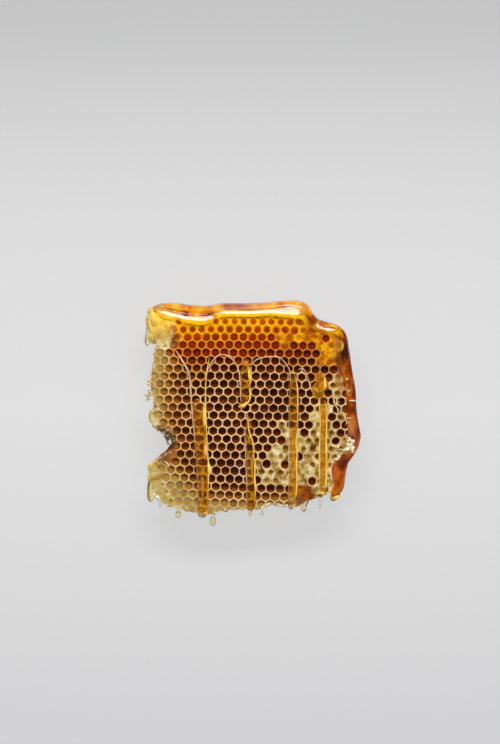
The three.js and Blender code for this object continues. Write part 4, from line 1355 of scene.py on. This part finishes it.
def chances(first, second, count):
    """Numbers from 0 to 1 that belong to one scrap, always the same."""
    return [draw(np.array([[first, second]]), seed)[0] for seed in range(count)]


def edge_flakes(seed, start, end, count, inset, length):
    """Flakes along a stretch of the torn edge, most of them turned along it."""
    ways = outward_ways(outline)
    scraps = []
    for k in range(count):
        chance = chances(seed, k, 6)
        station = int((start + (end - start) * (k + chance[0]) / count) * STEPS_PER_POINT) % len(outline)
        spot = outline[station, :2] - ways[station] * (inset + 1.4 * chance[1] ** 2) * MM
        turn = math.atan2(*ways[station][::-1]) + 2.4 * (chance[2] - 0.5)
        height = FACE_HEIGHT - (0.4 + 3 * chance[3] ** 2) * MM
        scraps.append(flake((*spot, height), length * (0.6 + 0.7 * chance[4]), FLAKE_TALL, FLAKE_THICK,
                            1.6 * (chance[5] - 0.5), 0.8 * (chance[3] - 0.5), turn, seed * 7 + k))
    return scraps


def line_flakes(seed, start, end, count, stray, length, thick):
    """Flakes along a line on the face, which sink to the wax where they lie past the outline."""
    start, end = np.array(start), np.array(end)
    course = math.atan2(*(end - start)[::-1])
    scraps = []
    for k in range(count):
        chance = chances(seed, k, 7)
        place = start + (end - start) * ((k + chance[0]) / count) + 2 * stray * (np.array(chance[1:3]) - 0.5)
        flat = place * MM + DRAWN_ROUND
        outside = max(-depth_inside(flat[None], outline)[0], 0)
        spot = (*flat, FACE_HEIGHT + 0.1 * MM - 0.9 * outside)
        scraps.append(flake(spot, length * (0.6 + 0.7 * chance[3]), LINE_FLAKE_TALL, thick,
                            2.4 * (chance[5] - 0.5), 0.8 * (chance[6] - 0.5),
                            course + 2.2 * (chance[4] - 0.5), seed * 7 + k))
    return scraps


# Lumps of crushed wax at the left-hand corners and edge, and one at the lower end of the coat: x, y and
# height of the middle, and half the width, height and thickness.
CORNER_LUMPS = [
    (-59.2, 49.5, 21.6, 4.2, 7, 4.6), (-58.8, 41.5, 21.4, 3.6, 4.4, 4.4), (-58.2, 55.2, 22, 4.6, 4, 4.2),
    (-58.4, -35.5, 21.4, 4, 4.4, 4), (-59.4, -41, 21, 3.4, 4, 4),
    (-58.8, -5, 21.4, 3.2, 4.6, 4), (-57.4, -10, 21.2, 2.6, 3, 4),
    (46.9, -52.7, 23.4, 2.3, 1.6, 1.6),
]
# The same for pale lumps on and beside the honey of the right-hand side. The small one at x 54, y 16.6 is a
# painted glint.
PALE_LUMPS = [
    (55.5, -22.2, 26.4, 1.8, 1.6, 1.0), (57.4, -20, 26.2, 1.3, 1.4, 1.0), (54, -24.6, 26.4, 1.6, 1.2, 1.0),
    (57.2, -23.6, 26, 1.4, 1.3, 0.9), (55.4, -18.6, 26.4, 1.0, 1.5, 0.9), (52.2, -25.2, 26.3, 1.4, 0.8, 0.8),
    (47.9, -30.2, 26.4, 1.8, 0.9, 0.8), (49.2, -28.8, 26.4, 1.2, 1.0, 0.8),
    (54, 16.6, 26.6, 1.0, 0.6, 0.6), (57.4, 3.9, 26.5, 2.3, 0.55, 0.7),
]
# Crumbs along the torn lower edge: from and to in the outline's points, how many, and how large at most.
CRUMBS = (25.5, 37.8, 44, 1.3)
CRUMB_HEIGHT = 25.4
LUMP_SKIN = 0.35 * MM


def scattered_flakes(name, stretches, lines):
    """Flakes along stretches of the torn edge and along lines on the face as one piece."""
    groups = [edge_flakes(seed, *stretch) for seed, stretch in enumerate(stretches, 1)]
    groups += [line_flakes(seed, *line) for seed, line in enumerate(lines, len(stretches) + 1)]
    return joined(name, sum(groups, []))


def lump(x, y, z, wide, high, thick, seed):
    """One uneven lump."""
    bpy.ops.object.select_all(action="DESELECT")
    bpy.ops.mesh.primitive_ico_sphere_add(subdivisions=4, radius=1)
    body = bpy.context.object
    points = get_points(body.data)
    points *= 1 + 0.2 * rough(points, 0.9, seed)[:, None]
    points = (points * (wide, high, thick) + (x, y, z)) * MM
    points[:, :2] += DRAWN_ROUND
    set_points(body.data, points)
    return body


def crumbs_along(start, end, count, largest):
    """The sizes of small lumps along a stretch of the torn edge."""
    ways = outward_ways(outline)
    crumbs = []
    for k in range(count):
        chance = chances(k, 3, 4)
        station = int((start + (end - start) * (k + chance[0]) / count) * STEPS_PER_POINT)
        x, y = (outline[station, :2] - ways[station] * 0.9 * chance[1] * MM - DRAWN_ROUND) / MM
        size = largest * (0.4 + 0.6 * chance[2])
        crumbs.append((x, y, CRUMB_HEIGHT - chance[3], size * (0.7 + chance[3]), size, size))
    return crumbs


def torn_wax(name, tints):
    """Dull torn wax, mottled in its tints, with a fine grain."""
    material, tree, shader = new_material(name)
    feed_all(shader, {"Base Color": ramp_of(noise_of(tree, 4 * MM), tints), "Roughness": 0.45})
    bumped(shader, noise_of(tree, 0.7 * MM), 0.15 * MM)
    return material


# Each piece with the angle of its creases and its tints.
scraps = [
    (scattered_flakes("torn_flakes", FLAKE_STRETCHES, FLAKE_LINES), 40,
     [(0.35, (206, 164, 90)), (0.5, (236, 206, 140)), (0.65, (255, 240, 204))]),
    (scattered_flakes("fibres", [], FIBRE_LINES), 40, [(0.4, (120, 84, 46)), (0.6, (190, 150, 100))]),
]
for name, lumps, smoothing, tints in (
    ("corner_lumps", CORNER_LUMPS, 6,
     [(0.38, (222, 174, 60)), (0.5, (240, 206, 100)), (0.62, (222, 196, 120))]),
    ("pale_lumps", PALE_LUMPS, 2,
     [(0.36, (226, 200, 140)), (0.5, (246, 228, 184)), (0.64, (255, 250, 232))]),
    # The crumbs' whitest tint is partly a painted glint.
    ("crumbs", crumbs_along(*CRUMBS), 2,
     [(0.4, (190, 160, 90)), (0.5, (226, 204, 150)), (0.62, (255, 250, 232))]),
):
    body = joined(name, [lump(*sizes, k + 31) for k, sizes in enumerate(lumps)])
    remeshed(body, LUMP_SKIN, smoothing)
    scraps.append((body, 80, tints))
for piece, crease, tints in scraps:
    dress(piece, torn_wax(piece.name, tints), crease)
    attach(piece, "root")
    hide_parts("comb")
